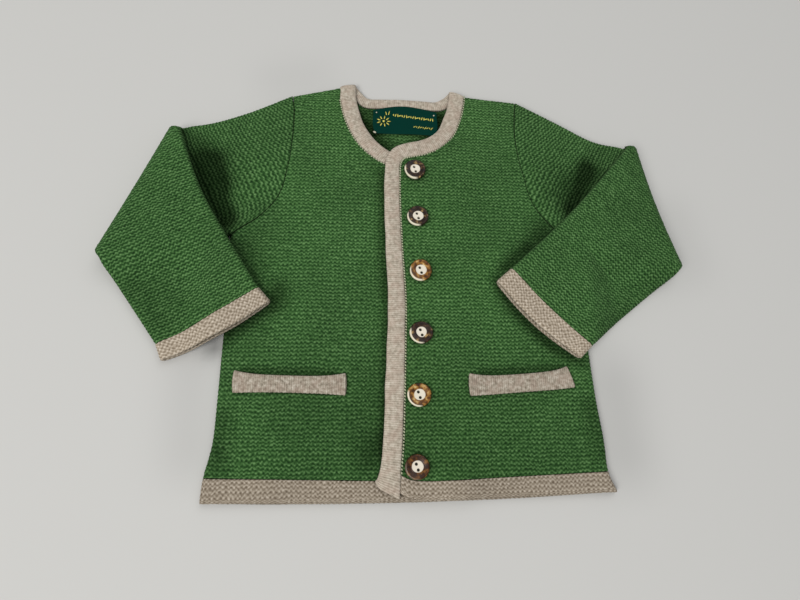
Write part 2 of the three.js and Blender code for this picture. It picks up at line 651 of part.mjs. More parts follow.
add("back", backPiece(backPlaces, 12), greenKnit);
add("hem_back", backPiece(hemPlaces, 4), beigeKnit);
for (const [name, { side, sections }] of Object.entries(sleeves)) {
  add(`front_${name}`, frontPiece(sections, side, panelPlaces, 7), greenKnit);
  add(`hem_front_${name}`, frontPiece(sections, side, hemPlaces, 7), beigeKnit);
  add(`sleeve_${name}`, sleevePiece(sleeves[name], sleeveStations), greenKnit);
  add(`cuff_${name}`, sleevePiece(sleeves[name], cuffStations), beigeKnit);
  add(`pocket_welt_${name}`, weltPiece(pocketWelts[name], side), beigeKnit);
}
add("edge_binding", bindingPiece(), beigeKnit);
add("label", labelPiece(), woven);
buttons.forEach(({ x, y }, i) => {
  const mesh = add(`button_${i + 1}`, buttonPiece(), antler);
  mesh.position.set(x, y, frontHeight(x, y, 1) + seamGap);
});

export default group;
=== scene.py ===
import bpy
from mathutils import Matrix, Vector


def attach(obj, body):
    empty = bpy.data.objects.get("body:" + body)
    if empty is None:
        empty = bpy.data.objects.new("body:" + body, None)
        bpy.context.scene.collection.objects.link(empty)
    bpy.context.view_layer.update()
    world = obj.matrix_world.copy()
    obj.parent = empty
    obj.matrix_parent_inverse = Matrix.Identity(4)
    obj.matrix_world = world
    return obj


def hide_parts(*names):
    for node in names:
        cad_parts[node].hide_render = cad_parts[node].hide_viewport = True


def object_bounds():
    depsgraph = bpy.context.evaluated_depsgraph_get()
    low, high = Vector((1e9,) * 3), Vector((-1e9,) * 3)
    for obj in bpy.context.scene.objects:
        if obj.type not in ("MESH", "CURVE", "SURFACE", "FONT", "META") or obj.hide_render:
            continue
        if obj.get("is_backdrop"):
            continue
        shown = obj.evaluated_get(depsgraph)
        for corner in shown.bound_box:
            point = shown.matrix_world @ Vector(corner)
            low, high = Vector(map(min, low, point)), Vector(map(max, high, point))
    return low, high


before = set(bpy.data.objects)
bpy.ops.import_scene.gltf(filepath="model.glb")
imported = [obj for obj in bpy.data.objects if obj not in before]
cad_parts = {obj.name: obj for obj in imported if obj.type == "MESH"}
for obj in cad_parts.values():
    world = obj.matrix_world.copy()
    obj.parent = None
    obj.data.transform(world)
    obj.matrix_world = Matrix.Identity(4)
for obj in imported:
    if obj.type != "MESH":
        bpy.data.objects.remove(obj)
cadBox = [list(corner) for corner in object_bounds()]

# A child's garter-knit cardigan, buttoned and laid flat, with both sleeves folded over the
# fronts. Shapes are worked out in millimetres and scaled to metres as each mesh is made.
# +X is the wearer's left, +Y the neck and +Z up.
import math

import bmesh
import bpy
import numpy as np
from mathutils import Matrix, Vector

mm = 0.001


def smoothStep(x, low, high):
    t = np.clip((x - low) / (high - low), 0, 1)
    return t * t * (3 - 2 * t)


def mix(a, b, share):
    return a + (b - a) * share


# all the columns of a table at places between its rows, by a smooth cubic
def alongRows(rows, place, knots=None):
    rows = np.asarray(rows, float)
    knots = np.arange(len(rows), dtype=float) if knots is None else knots
    slopes = np.empty_like(rows)
    slopes[1:-1] = (rows[2:] - rows[:-2]) / (knots[2:] - knots[:-2])[:, None]
    slopes[0] = (rows[1] - rows[0]) / (knots[1] - knots[0])
    slopes[-1] = (rows[-1] - rows[-2]) / (knots[-1] - knots[-2])
    i = np.clip(np.searchsorted(knots, place, side="right") - 1, 0, len(rows) - 2)
    span = (knots[i + 1] - knots[i])[..., None]
    f = np.clip((np.asarray(place) - knots[i])[..., None] / span, 0, 1)
    straight = mix(rows[i], rows[i + 1], f * f * (3 - 2 * f))
    return straight + f * (1 - f) * span * ((1 - f) * slopes[i] - f * slopes[i + 1])


def lengthAlong(points):
    return np.append(0, np.cumsum(np.linalg.norm(np.diff(points, axis=0), axis=1)))


def unit(vectors):
    return vectors / np.maximum(np.linalg.norm(vectors, axis=-1, keepdims=True), 1e-9)


# the height of a rounded edge, from 0 at the edge to 1 at its radius, by the share of it
def quarterRound(share):
    return np.sqrt(1 - (1 - np.clip(share, 0, 1)) ** 2)


# rises from 0 to 1 and falls back to 0
def plateau(x, low, lowFull, highFull, high):
    return smoothStep(x, low, lowFull) * (1 - smoothStep(x, highFull, high))


def signedPower(x, power):
    return np.sign(x) * np.abs(x) ** power


# how far on and how far down a surface has gone, by distance past the start of a turn of this
# radius and angle, after which it runs straight
def turnDown(past, radius, angle=math.pi / 2):
    turn = np.clip(past / radius, 0, angle)
    tail = np.clip(past - radius * angle, 0, None)
    return radius * np.sin(turn) + np.cos(angle) * tail, radius * (1 - np.cos(turn)) + np.sin(angle) * tail


# smooth bumps of about one unit's size, from a seeded table, for uneven cloth
noiseTable = np.random.default_rng(7).uniform(-1, 1, (64, 64))


def unevenness(x, y, size):
    x, y = x / size, y / size
    i, j = np.floor(x).astype(int), np.floor(y).astype(int)
    fx, fy = smoothStep(x - i, 0, 1), smoothStep(y - j, 0, 1)
    corner = lambda a, b: noiseTable[(i + a) % 64, (j + b) % 64]
    low, high = mix(corner(0, 0), corner(1, 0), fx), mix(corner(0, 1), corner(1, 1), fx)
    return mix(low, high, fy)


cloth = {
    "wall": 3.0,  # thickness of the garter knit
    "seamGap": 0.3,
    "armholeGap": 0.4,
    "neckGap": 0.1,
    "edgeRound": 1.1,  # roundness of a sewn edge
    "foldRound": 3.15,  # roundness of the side seams and shoulders
    "foldTurn": math.pi * 0.98,  # how far the side seams turn under
    "hemSeamRound": 0.55,  # roundness of the seam of front and hem
    "lowest": 0.45,  # height of the fronts' turned-in edges above the floor
}
frontBase = cloth["wall"] + cloth["seamGap"]
frontTop = frontBase + cloth["wall"]

# x, y and z of the strip's middle, plan angle from its free to its sewn edge, width, thickness
bindingRoute = [
    (-16.8, -151.5, 8.6, -29, 18.5, 3.6),  # left front's hem
    (-14.3, -137, 8.6, -12, 14.2, 4),
    (-12.6, -119, 8.6, -6, 13.8, 4),
    (-11.2, -91, 8.6, -2, 13.5, 4),
    (-9.8, -55, 8.6, 0, 13.2, 4),
    (-8.8, -20, 8.6, 0, 12.8, 4),
    (-10.2, 15, 8.6, 1, 12.3, 4),
    (-11.3, 55, 8.6, 1, 12, 4),
    (-11, 80, 8.6, 0, 11.8, 4),
    (-9.9, 92, 8.6, -12, 12, 4),
    (-5.6, 99, 8.6, -48, 12.6, 4),  # corner of the front and neck
    (1.5, 102, 8.6, -68, 13.2, 4),
    (13.1, 105.2, 8.4, -67, 13.4, 4),
    (24.2, 111.5, 7.5, -53, 13.4, 4),
    (32.9, 121.4, 6, -35, 13.4, 4),
    (39.1, 136.3, 5.4, -20, 13.2, 4),
    (42.6, 150, 5.2, -10, 12.8, 3.4),
    (43.6, 157.8, 5.1, -8, 12.4, 3.2),  # over the left shoulder
    (43.4, 159.2, 4.6, -16, 11.9, 3.2),
    (42.8, 159.8, 3.4, -30, 11.4, 3.2),
    (42, 159.3, 2.2, -42, 10.9, 3.2),
    (40.8, 158, 1.7, -50, 10.4, 3.2),
    (35.6, 153, 1.7, -55, 9.6, 3.2),
    (27.5, 149.2, 1.7, -74, 9, 3.2),
    (14.6, 149.3, 1.7, -89, 8.8, 3.2),  # across the back neck
    (-2.3, 149.3, 1.7, -90, 8.8, 3.2),
    (-19, 148.9, 1.7, -92, 8.8, 3.2),
    (-31, 149.3, 1.7, -107, 9, 3.2),
    (-38.4, 155.2, 1.7, -124, 9.8, 3.2),
    (-42.8, 160, 1.7, -133, 10.4, 3.2),  # over the right shoulder
    (-44.2, 161.7, 2.2, -143, 10.9, 3.2),
    (-45.2, 162.4, 3.4, -156, 11.4, 3.2),
    (-45.8, 161.9, 4.6, -170, 11.9, 3.2),
    (-46.1, 160.4, 5.1, -179, 12.4, 3.2),
    (-45.6, 148, 5.3, -170, 12.9, 3.8),
    (-42, 132.7, 5.4, -163, 13.2, 4),
    (-36.7, 119.5, 5.4, -152, 13.3, 4),
    (-29.7, 108.9, 5.4, -139, 13.3, 4),
    (-21.3, 101.3, 5, -130, 13, 3.3),
    (-13, 96, 4.8, -124, 12.3, 3),  # under the left front
    (-2, 90, 4.8, -117, 12.3, 3),
    (9, 84.8, 4.8, -120, 12.3, 3),
    (17.5, 78, 4.8, -138, 12.3, 3),
    (21.6, 67, 4.8, -168, 12.3, 3),
    *[(22, y, 4.8, -180, 12.3, 3) for y in (40, -20, -80, -138, -156.5)],  # down to the hem
]
routeTable = np.array(bindingRoute, float)
routeKnots = lengthAlong(routeTable[:, :3])
leftShoulderRow, rightShoulderRow = 19, 31

# the fronts' sections: row of the binding where one starts, x and y where it ends
leftSections = [
    (0, 141, -153.5),
    (0.62, 136, -140),
    (2, 135.4, -118),
    (3, 133.2, -90),
    (4, 131.9, -55),
    (5, 130.6, -19),
    (6, 129.5, 15),
    (6.4, 128.6, 29),
    (6.7, 112.5, 42),
    (7.1, 99.5, 60),
    (8, 93.8, 84),
    (10.6, 90.8, 104),
    (12.6, 90, 121),
    (14.6, 90.9, 137.5),
    (17.8, 92.9, 154),
]
rightSections = [
    (48, -135.2, -155),
    (47.35, -134.2, -139.6),
    (46.7, -130.2, -118),
    (46.2, -129.4, -90),
    (45.6, -129, -55),
    (45, -128.6, -19),
    (44.4, -130, 15),
    (44.1, -128.4, 28.4),
    (43.8, -110, 43),
    (43.2, -96.2, 60.8),
    (42.2, -90.8, 84),
    (40.2, -88.6, 104),
    (37.8, -87.9, 121),
    (35.6, -88.3, 137.5),
    (32.9, -89.9, 150.2),
]
hemSeam, underarm = 1, 7
lastSection = len(leftSections) - 1
hemBow = 3


def bindingAt(route):
    whole = np.clip(np.floor(route).astype(int), 0, len(bindingRoute) - 2)
    place = mix(routeKnots[whole], routeKnots[whole + 1], route - whole)
    row = alongRows(routeTable, place, routeKnots)
    ahead = alongRows(routeTable, place + 0.2, routeKnots)[..., :3]
    behind = alongRows(routeTable, place - 0.2, routeKnots)[..., :3]
    turn = np.radians(row[..., 3])
    across = np.stack([np.cos(turn), np.sin(turn), 0 * turn], -1)
    out = unit(np.cross(across, unit(ahead - behind)))
    return row[..., :3], across, out, row[..., 4], row[..., 5]


def routeRows(places):
    return np.interp(places, routeKnots, np.arange(len(bindingRoute)))


def sewnEdge(route):
    middle, across, _, width, _ = bindingAt(route)
    edge = middle + across * (width / 2 + cloth["neckGap"])[..., None]
    return edge[..., :2]


# both ends of a front's sections at places between them
def sectionEnds(sections, place):
    whole = np.clip(np.floor(place).astype(int), 0, lastSection - 1)
    routes = np.array(sections)[:, 0]
    inner = sewnEdge(mix(routes[whole], routes[whole + 1], place - whole))
    outer = alongRows(sections, place)[..., 1:]
    return inner, outer


def sectionRun(sections, places):
    inner, outer = sectionEnds(sections, places)
    return lengthAlong((inner + outer) / 2)


# places up the sections that lie evenly in millimetres
def evenPlaces(sections, start, end, share):
    places = np.linspace(start, end, 200)
    run = sectionRun(sections, places)
    return np.interp(share * run[-1], run, places)


overlap = {"rise": 3.3, "clearX": 32, "flatX": 58, "fullY": 100, "flatY": 130}
# how far the hem of the left front is drawn up where the binding starts
hemLift = {"height": 5.2, "reach": 7, "low": -128, "high": -112}


def liftHem(plan, reach, side):
    fading = np.exp(-reach / hemLift["reach"]) * (1 - smoothStep(plan[:, 1], hemLift["low"], hemLift["high"]))
    plan[:, 1] += hemLift["height"] * fading * (side > 0)
    return plan


# the fronts swell over the chest: where the swell starts, is full, falls and ends
chest = {"height": 1.8, "across": (18, 55, 88, 118), "along": (-140, -95, 85, 135)}

# soft folds: x and y of both ends, half width, height (a trough is negative)
frontFolds = [
    (-24, 66, -60, 40, 9, 0.7),
    (-30, 12, -84, -8, 13, 0.8),
    (-22, -62, -70, -40, 10, -0.6),
    (-96, 30, -60, -10, 11, -0.6),
    (-30, -128, -92, -112, 9, 0.7),
    (-112, -100, -124, -138, 6, -0.6),
    (34, 74, 66, 96, 10, 0.7),
    (30, 22, 80, 4, 12, 0.7),
    (26, -24, 70, -38, 10, -0.6),
    (88, -10, 60, -36, 9, 0.6),
    (32, -112, 96, -126, 10, 0.7),
    (104, -96, 122, -134, 7, -0.6),
]


# Painted shade: lines where less light reaches, darkened into the colour: x and y of both ends, half
# width and depth. They lie beside the binding, beside the sleeves' flaps, below their cuffs, by the
# buttons, above the pocket welts, inside the neck and across the lower body, and on the floor as
# painted shadows round the cardigan.
wideShade = [(-125, -118, 125, -118, 58, -0.21)]
buttonShade = [(x, y, x + 1, y - 2, 4.5, -0.4) for x, y in (
    (14.4, 83.9), (15.6, 44.5), (16.7, 1.3), (15.9, -45), (13.4, -88.3), (10.9, -134.9),
    (-0.6, 88.9), (-0.4, 45.5), (0.7, 4.3), (-0.1, -44))]
paintedShadeLines = {
    "front_right": wideShade + [
        (-18, 86, -17, -20, 5, -0.5), (-16, -20, -19, -132, 4, -0.4), (-123, 26, -102, -4, 8, -0.3),
        (-118, 44, -98, 12, 20, -0.14), (-97, -8, -90, -18, 9, -0.55), (-90, -18, -93, -28, 9, -0.5),
        (-94, -26, -128, -48, 6, -0.5), (-134, -48, -126, -56, 8, -0.4), (-126, -96, -128, -136, 9, -0.3),
        (-20, -112, -34, -136, 9, -0.3), (-114, -70.6, -50, -73.2, 3, -0.4)],
    "front_left": wideShade + buttonShade + [
        (80, 130, 80, -60, 60, -0.05), (112, 44, 94, 25, 9, -0.5), (94, 25, 68, 2, 6, -0.6),
        (64, 0, 74, -24, 5, -0.5), (74, -24, 104, -56, 5, -0.5), (104, -56, 131, -67, 5, -0.4),
        (128, -90, 133, -136, 9, -0.3), (0, 82, 14, 76, 5, -0.3), (48, -72.6, 110, -68.8, 3, -0.4)],
    "sleeve_right": [(-198, -4, -162, -48, 14, -0.26)],
    "sleeve_left": [(200, 4, 140, -48, 10, -0.14)],
    "back": [
        (-43, 142, -29, 120, 8, -0.7), (-32, 126, -12, 104, 8, -0.7), (28, 140, 28, 116, 9, -0.8),
        (-8, 101, 22, 118, 7, -0.6), (-36, 142, 38, 142, 9, -0.4)],
    "floor": [
        (-152, -50, -146, -140, 20, -0.1), (150, -60, 152, -150, 24, -0.16), (-140, -50, -130, -56, 9, -0.6),
        (215, 70, 228, 0, 22, -0.08), (-120, 165, -60, 180, 22, -0.06)],
}
# painted shade lines under a sleeve's flap, which end at this height
flapHeight = 13.5
paintedFlapShadeLines = {
    "sleeve_right": [
        (-168, 108, -150, 101, 8, -0.4), (-163, 97, -146, 62, 9, -0.55), (-146, 62, -129, 32, 8, -0.6),
        (-152, 98, -139.5, 62, 9, -0.55), (-139.5, 62, -128, 36, 8, -0.45), (-143, 98, -135, 62, 9, -0.4),
        (-134, 110, -118, 40, 20, -0.1)],
    "sleeve_left": [
        (147, 101, 143.5, 82, 8, -0.8), (144, 82, 138, 67, 9, -0.8), (138, 67, 124, 51, 8, -0.75),
        (160, 96, 149, 81, 8, -0.45), (134, 90, 120, 62, 10, -0.3), (172, 112, 150, 104, 8, -0.2),
        (128, 110, 110, 50, 18, -0.1)],
}
# how bright each band of the same yarn lies in the light
levels = {"hem": 0.84, "cuff": 1.12, "pocket": 0.86, "sleeve": 0.96}


def softFolds(x, y, folds):
    lift = np.zeros_like(x)
    for x1, y1, x2, y2, halfWidth, height in folds:
        length = math.hypot(x2 - x1, y2 - y1)
        along = ((x - x1) * (x2 - x1) + (y - y1) * (y2 - y1)) / length
        aside = ((x - x1) * (y2 - y1) - (y - y1) * (x2 - x1)) / length
        ends = plateau(along, -halfWidth, halfWidth, length - halfWidth, length + halfWidth)
        lift += height * ends * np.exp(-(aside / halfWidth) ** 2)
    return lift


def overlapLift(x, y, side):
    if side < 0:
        return np.zeros_like(x)
    over = 1 - smoothStep(x, overlap["clearX"], overlap["flatX"])
    return overlap["rise"] * over * (1 - smoothStep(y, overlap["fullY"], overlap["flatY"]))


def frontHeight(x, y, side):
    swell = chest["height"] * plateau(x * side, *chest["across"]) * plateau(y, *chest["along"])
    return frontTop + swell + overlapLift(x, y, side) + softFolds(x, y, frontFolds)


# stitch is the width of one loop and ridge the height of one garter ridge, two rows of loops
garter = {"stitch": 3.15, "ridge": 2.85, "depth": 0.15, "crest": 0.65, "wander": 0.9}


def knitCoordinates(x, y, knit):
    wander = knit["wander"]
    x = x + wander * unevenness(x, y, 9) + 0.5 * wander * unevenness(x + 40, y, 3.5)
    y = y + wander * unevenness(x, y + 90, 11) + 0.4 * wander * unevenness(x, y + 30, 3.5)
    return x / knit["stitch"], y / knit["ridge"]


# two rows of loops, half a stitch apart, meet along the crest of each ridge
def knitRelief(stitch, ridge, knit):
    loops = np.cos(2 * math.pi * stitch)
    turn = 2 * math.pi * ridge
    size = 1 + 0.6 * unevenness(stitch * 1.7, ridge * 3.1 + 20, 1)
    return knit["depth"] * size * (loops * np.cos(turn) + knit["crest"] * np.sin(turn) + 0.2 * loops)


# turns shape's points and flat places, in millimetres, into a mesh with its knit raised.
# shape takes the grid's shares across and along, from 0 to 1.
def makeSheet(name, columns, rows, shape, knit=None, closed=False, flip=False):
    bm = bmesh.new()
    bm.loops.layers.uv.new("knit")
    bmesh.ops.create_grid(bm, x_segments=columns, y_segments=rows, size=0.5)
    mesh = bpy.data.meshes.new(name)
    bm.to_mesh(mesh)
    bm.free()
    count = len(mesh.vertices)
    grid = np.empty(count * 3)
    mesh.vertices.foreach_get("co", grid)
    grid = grid.reshape(-1, 3)
    u, v = np.clip(grid[:, 0] + 0.5, 0, 1), np.clip(grid[:, 1] + 0.5, 0, 1)
    points, flat = shape(u, v)
    corners = np.empty(len(mesh.loops), int)
    mesh.loops.foreach_get("vertex_index", corners)
    if knit:
        flat = np.stack(knitCoordinates(flat[:, 0], flat[:, 1], knit), -1)
    mesh.uv_layers[0].data.foreach_set("uv", flat[corners].ravel())
    mesh.vertices.foreach_set("co", points.ravel())
    relief = mesh.attributes.new("relief", "FLOAT", "POINT")
    # painted shade and light, which the materials multiply into their colour
    shade = mesh.attributes.new("shade", "FLOAT", "POINT")
    shade.data.foreach_set("value", dimness(points, name))
    if knit:
        relief.data.foreach_set("value", knitRelief(flat[:, 0], flat[:, 1], knit))
    if flip:
        mesh.flip_normals()
    if closed:
        bm = bmesh.new()
        bm.from_mesh(mesh)
        bmesh.ops.remove_doubles(bm, verts=bm.verts, dist=1e-4)
        bmesh.ops.recalc_face_normals(bm, faces=bm.faces)
        bm.to_mesh(mesh)
        bm.free()
    mesh.update()
    if knit:
        raiseKnit(mesh)
    mesh.attributes.remove(mesh.attributes["relief"])
    mesh.transform(Matrix.Scale(mm, 4))
    return addPiece(name, mesh)


# painted shade: how much of the light reaches a place, put into the colour: less in the troughs, and on each
# band more or less as it lies in the light
def dimness(points, name):
    x, y, z = points.T
    key = name.replace("_knit", "")
    underFlap = 1 - smoothStep(z, flapHeight - 3, flapHeight)
    dim = 1 + softFolds(x, y, paintedShadeLines.get(key, [])) + underFlap * softFolds(x, y, paintedFlapShadeLines.get(key, []))
    return np.clip(dim, 0.2, 1) * levels.get(name.split("_")[0], 1)


def raiseKnit(mesh):
    count = len(mesh.vertices)
    points, normals, height = np.empty(count * 3), np.empty(count * 3), np.empty(count)
    mesh.vertices.foreach_get("co", points)
    mesh.vertex_normals.foreach_get("vector", normals)
    mesh.attributes["relief"].data.foreach_get("value", height)
    points += normals * np.repeat(height, 3)
    points[2::3] = np.maximum(points[2::3], 0.05)
    mesh.vertices.foreach_set("co", points)
    mesh.update()


def addPiece(name, mesh):
    mesh.polygons.foreach_set("use_smooth", np.full(len(mesh.polygons), True))
    mesh.update()
    piece = bpy.data.objects.new(name, mesh)
    bpy.context.scene.collection.objects.link(piece)
    return piece


def finishPiece(piece, material, slotName, *nodes):
    piece.data.materials.clear()
    piece.data.materials.append(material)
    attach(piece, "root")
    if nodes:
        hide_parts(*nodes)
    print(f"{piece.name}: {len(piece.data.polygons)} faces")
    return piece


def linear(hexColour):
    channels = [int(hexColour[i:i + 2], 16) / 255 for i in (1, 3, 5)]
    channels = [c / 12.92 if c <= 0.04045 else ((c + 0.055) / 1.055) ** 2.4 for c in channels]
    return (*channels, 1)


# adds one node with its settings and its inputs: numbers, colours, or sockets to link
def addNode(tree, kind, inputs=None, **settings):
    node = tree.nodes.new(kind)
    for key, value in settings.items():
        setattr(node, key, value)
    for key, value in (inputs or {}).items():
        if isinstance(value, bpy.types.NodeSocket):
            tree.links.new(value, node.inputs[key])
        else:
            node.inputs[key].default_value = value
    return node


def newMaterial(name, finish):
    material = bpy.data.materials.new(name)
    material.use_nodes = True
    tree = material.node_tree
    shader = tree.nodes["Principled BSDF"]
    for key, value in finish.items():
        shader.inputs[key].default_value = value
    return material, tree, shader


def rampColour(tree, value, stops):
    node = addNode(tree, "ShaderNodeValToRGB", {"Fac": value})
    elements = node.color_ramp.elements
    while len(elements) < len(stops):
        elements.new(0.5)
    for element, (position, colour) in zip(elements, stops):
        element.position = position
        element.color = linear(colour)
    return node.outputs["Color"]


def maths(tree, operation, *values):
    return addNode(tree, "ShaderNodeMath", dict(enumerate(values)), operation=operation).outputs[0]


def vectorMaths(tree, operation, *values):
    node = addNode(tree, "ShaderNodeVectorMath", dict(enumerate(values)), operation=operation)
    return node.outputs["Value" if operation in ("LENGTH", "DISTANCE", "DOT_PRODUCT") else "Vector"]


def scaleColour(tree, colour, factor):
    return addNode(tree, "ShaderNodeVectorMath", {0: colour, "Scale": factor}, operation="SCALE").outputs[0]


def noise(tree, place, scale, detail, output="Fac"):
    inputs = {"Vector": place, "Scale": scale, "Detail": detail}
    return addNode(tree, "ShaderNodeTexNoise", inputs).outputs[output]


# a value's way from one limit to another, spread between two new limits
def spread(tree, value, low, high, newLow=0, newHigh=1):
    inputs = {"Value": value, "From Min": low, "From Max": high, "To Min": newLow, "To Max": newHigh}
    return addNode(tree, "ShaderNodeMapRange", inputs).outputs[0]


def blend(tree, share, a, b):
    inputs = {"Factor": share, "A": a, "B": b}
    return addNode(tree, "ShaderNodeMix", inputs, data_type="RGBA").outputs["Result"]


def flatPlace(tree):
    return addNode(tree, "ShaderNodeUVMap", uv_map="knit").outputs["UV"]


def piecePlace(tree):
    return addNode(tree, "ShaderNodeTexCoord").outputs["Object"]


def shadeHere(tree):
    return addNode(tree, "ShaderNodeAttribute", attribute_name="shade").outputs["Fac"]


def setBump(tree, shader, height, strength, distance):
    inputs = {"Height": height, "Strength": strength, "Distance": distance * mm}
    tree.links.new(addNode(tree, "ShaderNodeBump", inputs).outputs["Normal"], shader.inputs["Normal"])


# darkens a colour in creases and under edges, where little light gets in
def shadeCreases(tree, colour, depth, reach):
    paintedShade = addNode(tree, "ShaderNodeAmbientOcclusion", {"Distance": reach * mm}, samples=8)
    return scaleColour(tree, colour, spread(tree, paintedShade.outputs["AO"], 0.15, 0.8, 1 - depth))


# how fine each unevenness of the yarn is: its sway, flecks, clouds, tints and fibres
fineness = {"sway": 420, "fleck": 600, "cloud": 24, "fibre": 1100,
            "tapeTint": 170, "tapeFleck": 450, "tapeFibre": 1400}
# wool: matt, a weak broad gloss, and a nap that lightens where the surface turns away
wool = {"Roughness": 0.92, "Specular IOR Level": 0.15, "Sheen Weight": 0.1, "Sheen Roughness": 0.5}


# Garter-knit wool: two rows of loops to each ridge, their crowns painted light and the gaps between
# them and one side of each ridge painted in shade, with the yarn's fibres breaking up the pattern
def knitMaterial(name, look):
    material, tree, shader = newMaterial(name, wool)
    place, paintedShade = piecePlace(tree), shadeHere(tree)
    sway = noise(tree, place, fineness["sway"], 1, "Color")
    shift = vectorMaths(tree, "MULTIPLY_ADD", sway, (look["sway"],) * 3, flatPlace(tree))
    turn = addNode(tree, "ShaderNodeSeparateXYZ", {0: scaleColour(tree, shift, 2 * math.pi)}).outputs
    rows = maths(tree, "ADD", maths(tree, "COSINE", turn["Y"]), 0.2)
    crowns = maths(tree, "MULTIPLY", maths(tree, "COSINE", turn["X"]), rows)
    loops = maths(tree, "MULTIPLY", crowns, look["loops"])
    height = maths(tree, "MULTIPLY_ADD", maths(tree, "SINE", turn["Y"]), look["ridge"], loops)
    level = maths(tree, "MULTIPLY_ADD", noise(tree, place, fineness["fleck"], 3), look["fleck"], height)
    middle, reach = look["fleck"] / 2, 1.7  # of the level, which the ramp's colours span
    share = spread(tree, level, middle - reach, middle + reach)
    clouds = noise(tree, place, fineness["cloud"], 3)
    cloud = spread(tree, clouds, 0.3, 0.7, 1 - look["cloud"], 1 + look["cloud"])
    colour = scaleColour(tree, rampColour(tree, share, look["stops"]), maths(tree, "MULTIPLY", cloud, paintedShade))
    tree.links.new(shadeCreases(tree, colour, 0.6, 16), shader.inputs["Base Color"])
    # the painted shade dims the nap's sheen and the yarn's gloss as well, as neither shines in a deep fold
    for finish in ("Sheen Weight", "Specular IOR Level"):
        tree.links.new(maths(tree, "MULTIPLY", paintedShade, wool[finish]), shader.inputs[finish])
    fibre = noise(tree, place, fineness["fibre"], 2)
    setBump(tree, shader, maths(tree, "MULTIPLY_ADD", fibre, 1.2, height), look["bump"], 0.25)
    shader.inputs["Sheen Tint"].default_value = linear(look["nap"])
    return material


greenLook = {
    "stops": [(0.08, "#132c11"), (0.36, "#294c22"), (0.62, "#456c39"), (0.92, "#71985f")],
    "ridge": 0.42, "loops": 0.7, "fleck": 2.9, "sway": 0.5, "cloud": 0.13, "bump": 0.4,
    "nap": "#9cc08c"}
# on the sleeves the ridges lie more open, and their painted light and shade is deeper
openLook = {**greenLook, "ridge": 0.62, "loops": 0.75}
beigeLook = {
    "stops": [(0.08, "#716353"), (0.36, "#928573"), (0.62, "#b0a391"), (0.92, "#d0c4b3")],
    "ridge": 0.3, "loops": 1, "fleck": 2.4, "sway": 0.5, "cloud": 0.06, "bump": 0.35,
    "nap": "#e6dccb"}
greenKnit = knitMaterial("garter-knit wool, green", greenLook)
sleeveWool = knitMaterial("garter-knit wool, green, ridges drawn open", openLook)
beigeKnit = knitMaterial("garter-knit wool, beige melange", beigeLook)


# Fine knitted tape: close ribs, in a melange of warm and grey fibres
def tapeMaterial(name, look):
    material, tree, shader = newMaterial(name, wool)
    place = piecePlace(tree)
    along = addNode(tree, "ShaderNodeSeparateXYZ", {0: flatPlace(tree)}).outputs["Y"]
    tint = noise(tree, place, fineness["tapeTint"], 2)
    turn = maths(tree, "MULTIPLY", along, 2 * math.pi / look["rib"])
    rib = maths(tree, "SINE", maths(tree, "MULTIPLY_ADD", tint, 3.0, turn))
    fleck = noise(tree, place, fineness["tapeFleck"], 3)
    level = maths(tree, "MULTIPLY_ADD", rib, look["ribShade"], fleck)
    warmth = spread(tree, tint, 0.4, 0.65, 0, look["warmth"])
    melange = blend(tree, warmth, rampColour(tree, level, look["stops"]), linear(look["warm"]))
    # painted shade: the piece's shade and the creases darken the colour
    colour = scaleColour(tree, melange, shadeHere(tree))
    tree.links.new(shadeCreases(tree, colour, 0.5, 8), shader.inputs["Base Color"])
    fibre = noise(tree, place, fineness["tapeFibre"], 2)
    setBump(tree, shader, maths(tree, "MULTIPLY_ADD", fibre, 1.5, rib), look["bump"], 0.15)
    return material


tapeLook = {"stops": [(0.25, "#978c7c"), (0.5, "#b9ae9c"), (0.75, "#d6ccbc")], "warm": "#b49b8b",
            "warmth": 0.35, "rib": 1.5, "ribShade": 0.1, "bump": 0.5}
weltLook = {**tapeLook, "stops": [(0.25, "#7d7263"), (0.5, "#b2a795"), (0.75, "#dcd3c3")], "ribShade": 0.05}
tapeKnit = tapeMaterial("fine knitted tape, beige melange", tapeLook)
weltKnit = tapeMaterial("fine knitted welt, beige melange", weltLook)

# columns of each piece's fine mesh, and its rows or, where that is a fraction, how long a row is
grids = {
    "front": (172, 0.8), "hemFront": (190, 36), "back": (200, 1.05), "hemBack": (220, 30),
    "sleeve": (262, 0.8), "cuff": (230, 46), "binding": (32, 0.5), "welt": (210, 40),
    "label": (60, 30), "button": (72, 60), "floor": (320, 320),
}


# A section of a front, by distance from its inner end: how far it reaches, how far it has
# fallen where it turns over, and where it lies unrolled
def rolledSection(share, width, outerRound, outerTurn, outerTail):
    r, tail = cloth["edgeRound"], 1.6
    innerArc, outerArc = r * math.pi / 2, outerRound * outerTurn
    flat = width - r - outerRound
    s = share * (tail + innerArc + flat + outerArc + outerTail) - tail
    innerOn, innerFall = turnDown(innerArc - s, r)
    outerOn, outerFall = turnDown(s - innerArc - flat, outerRound, outerTurn)
    reach = r - innerOn + np.clip(s - innerArc, 0, flat) + outerOn
    return reach, innerFall + outerFall, r + s - innerArc


# how far the edges run on inside
sideTail, armholeTail, shoulderTail = 3.5, 1.4, 2.5
frontTurnIns = 15  # of the hem seam and the shoulder together
seamHalf = 0.008  # half of the gap at the hem's seam, in sections


# points and flat places across a front's sections. edge is the outer edge's roundness, turn and
# tail, sink how far the ends have turned down, and push how far they have run on.
def frontPoints(sections, side, place, share, edge, sink, push=0):
    inner, outer = sectionEnds(sections, place)
    reach, fall, unrolled = rolledSection(share, np.linalg.norm(outer - inner, axis=-1), *edge)
    along = unit(outer - inner)
    plan = liftHem(inner + along * reach[:, None] + push, reach, side)
    z = frontHeight(plan[:, 0], plan[:, 1], side) - fall - sink
    return np.column_stack([plan, np.maximum(z, cloth["lowest"])]), inner + along * unrolled[:, None]


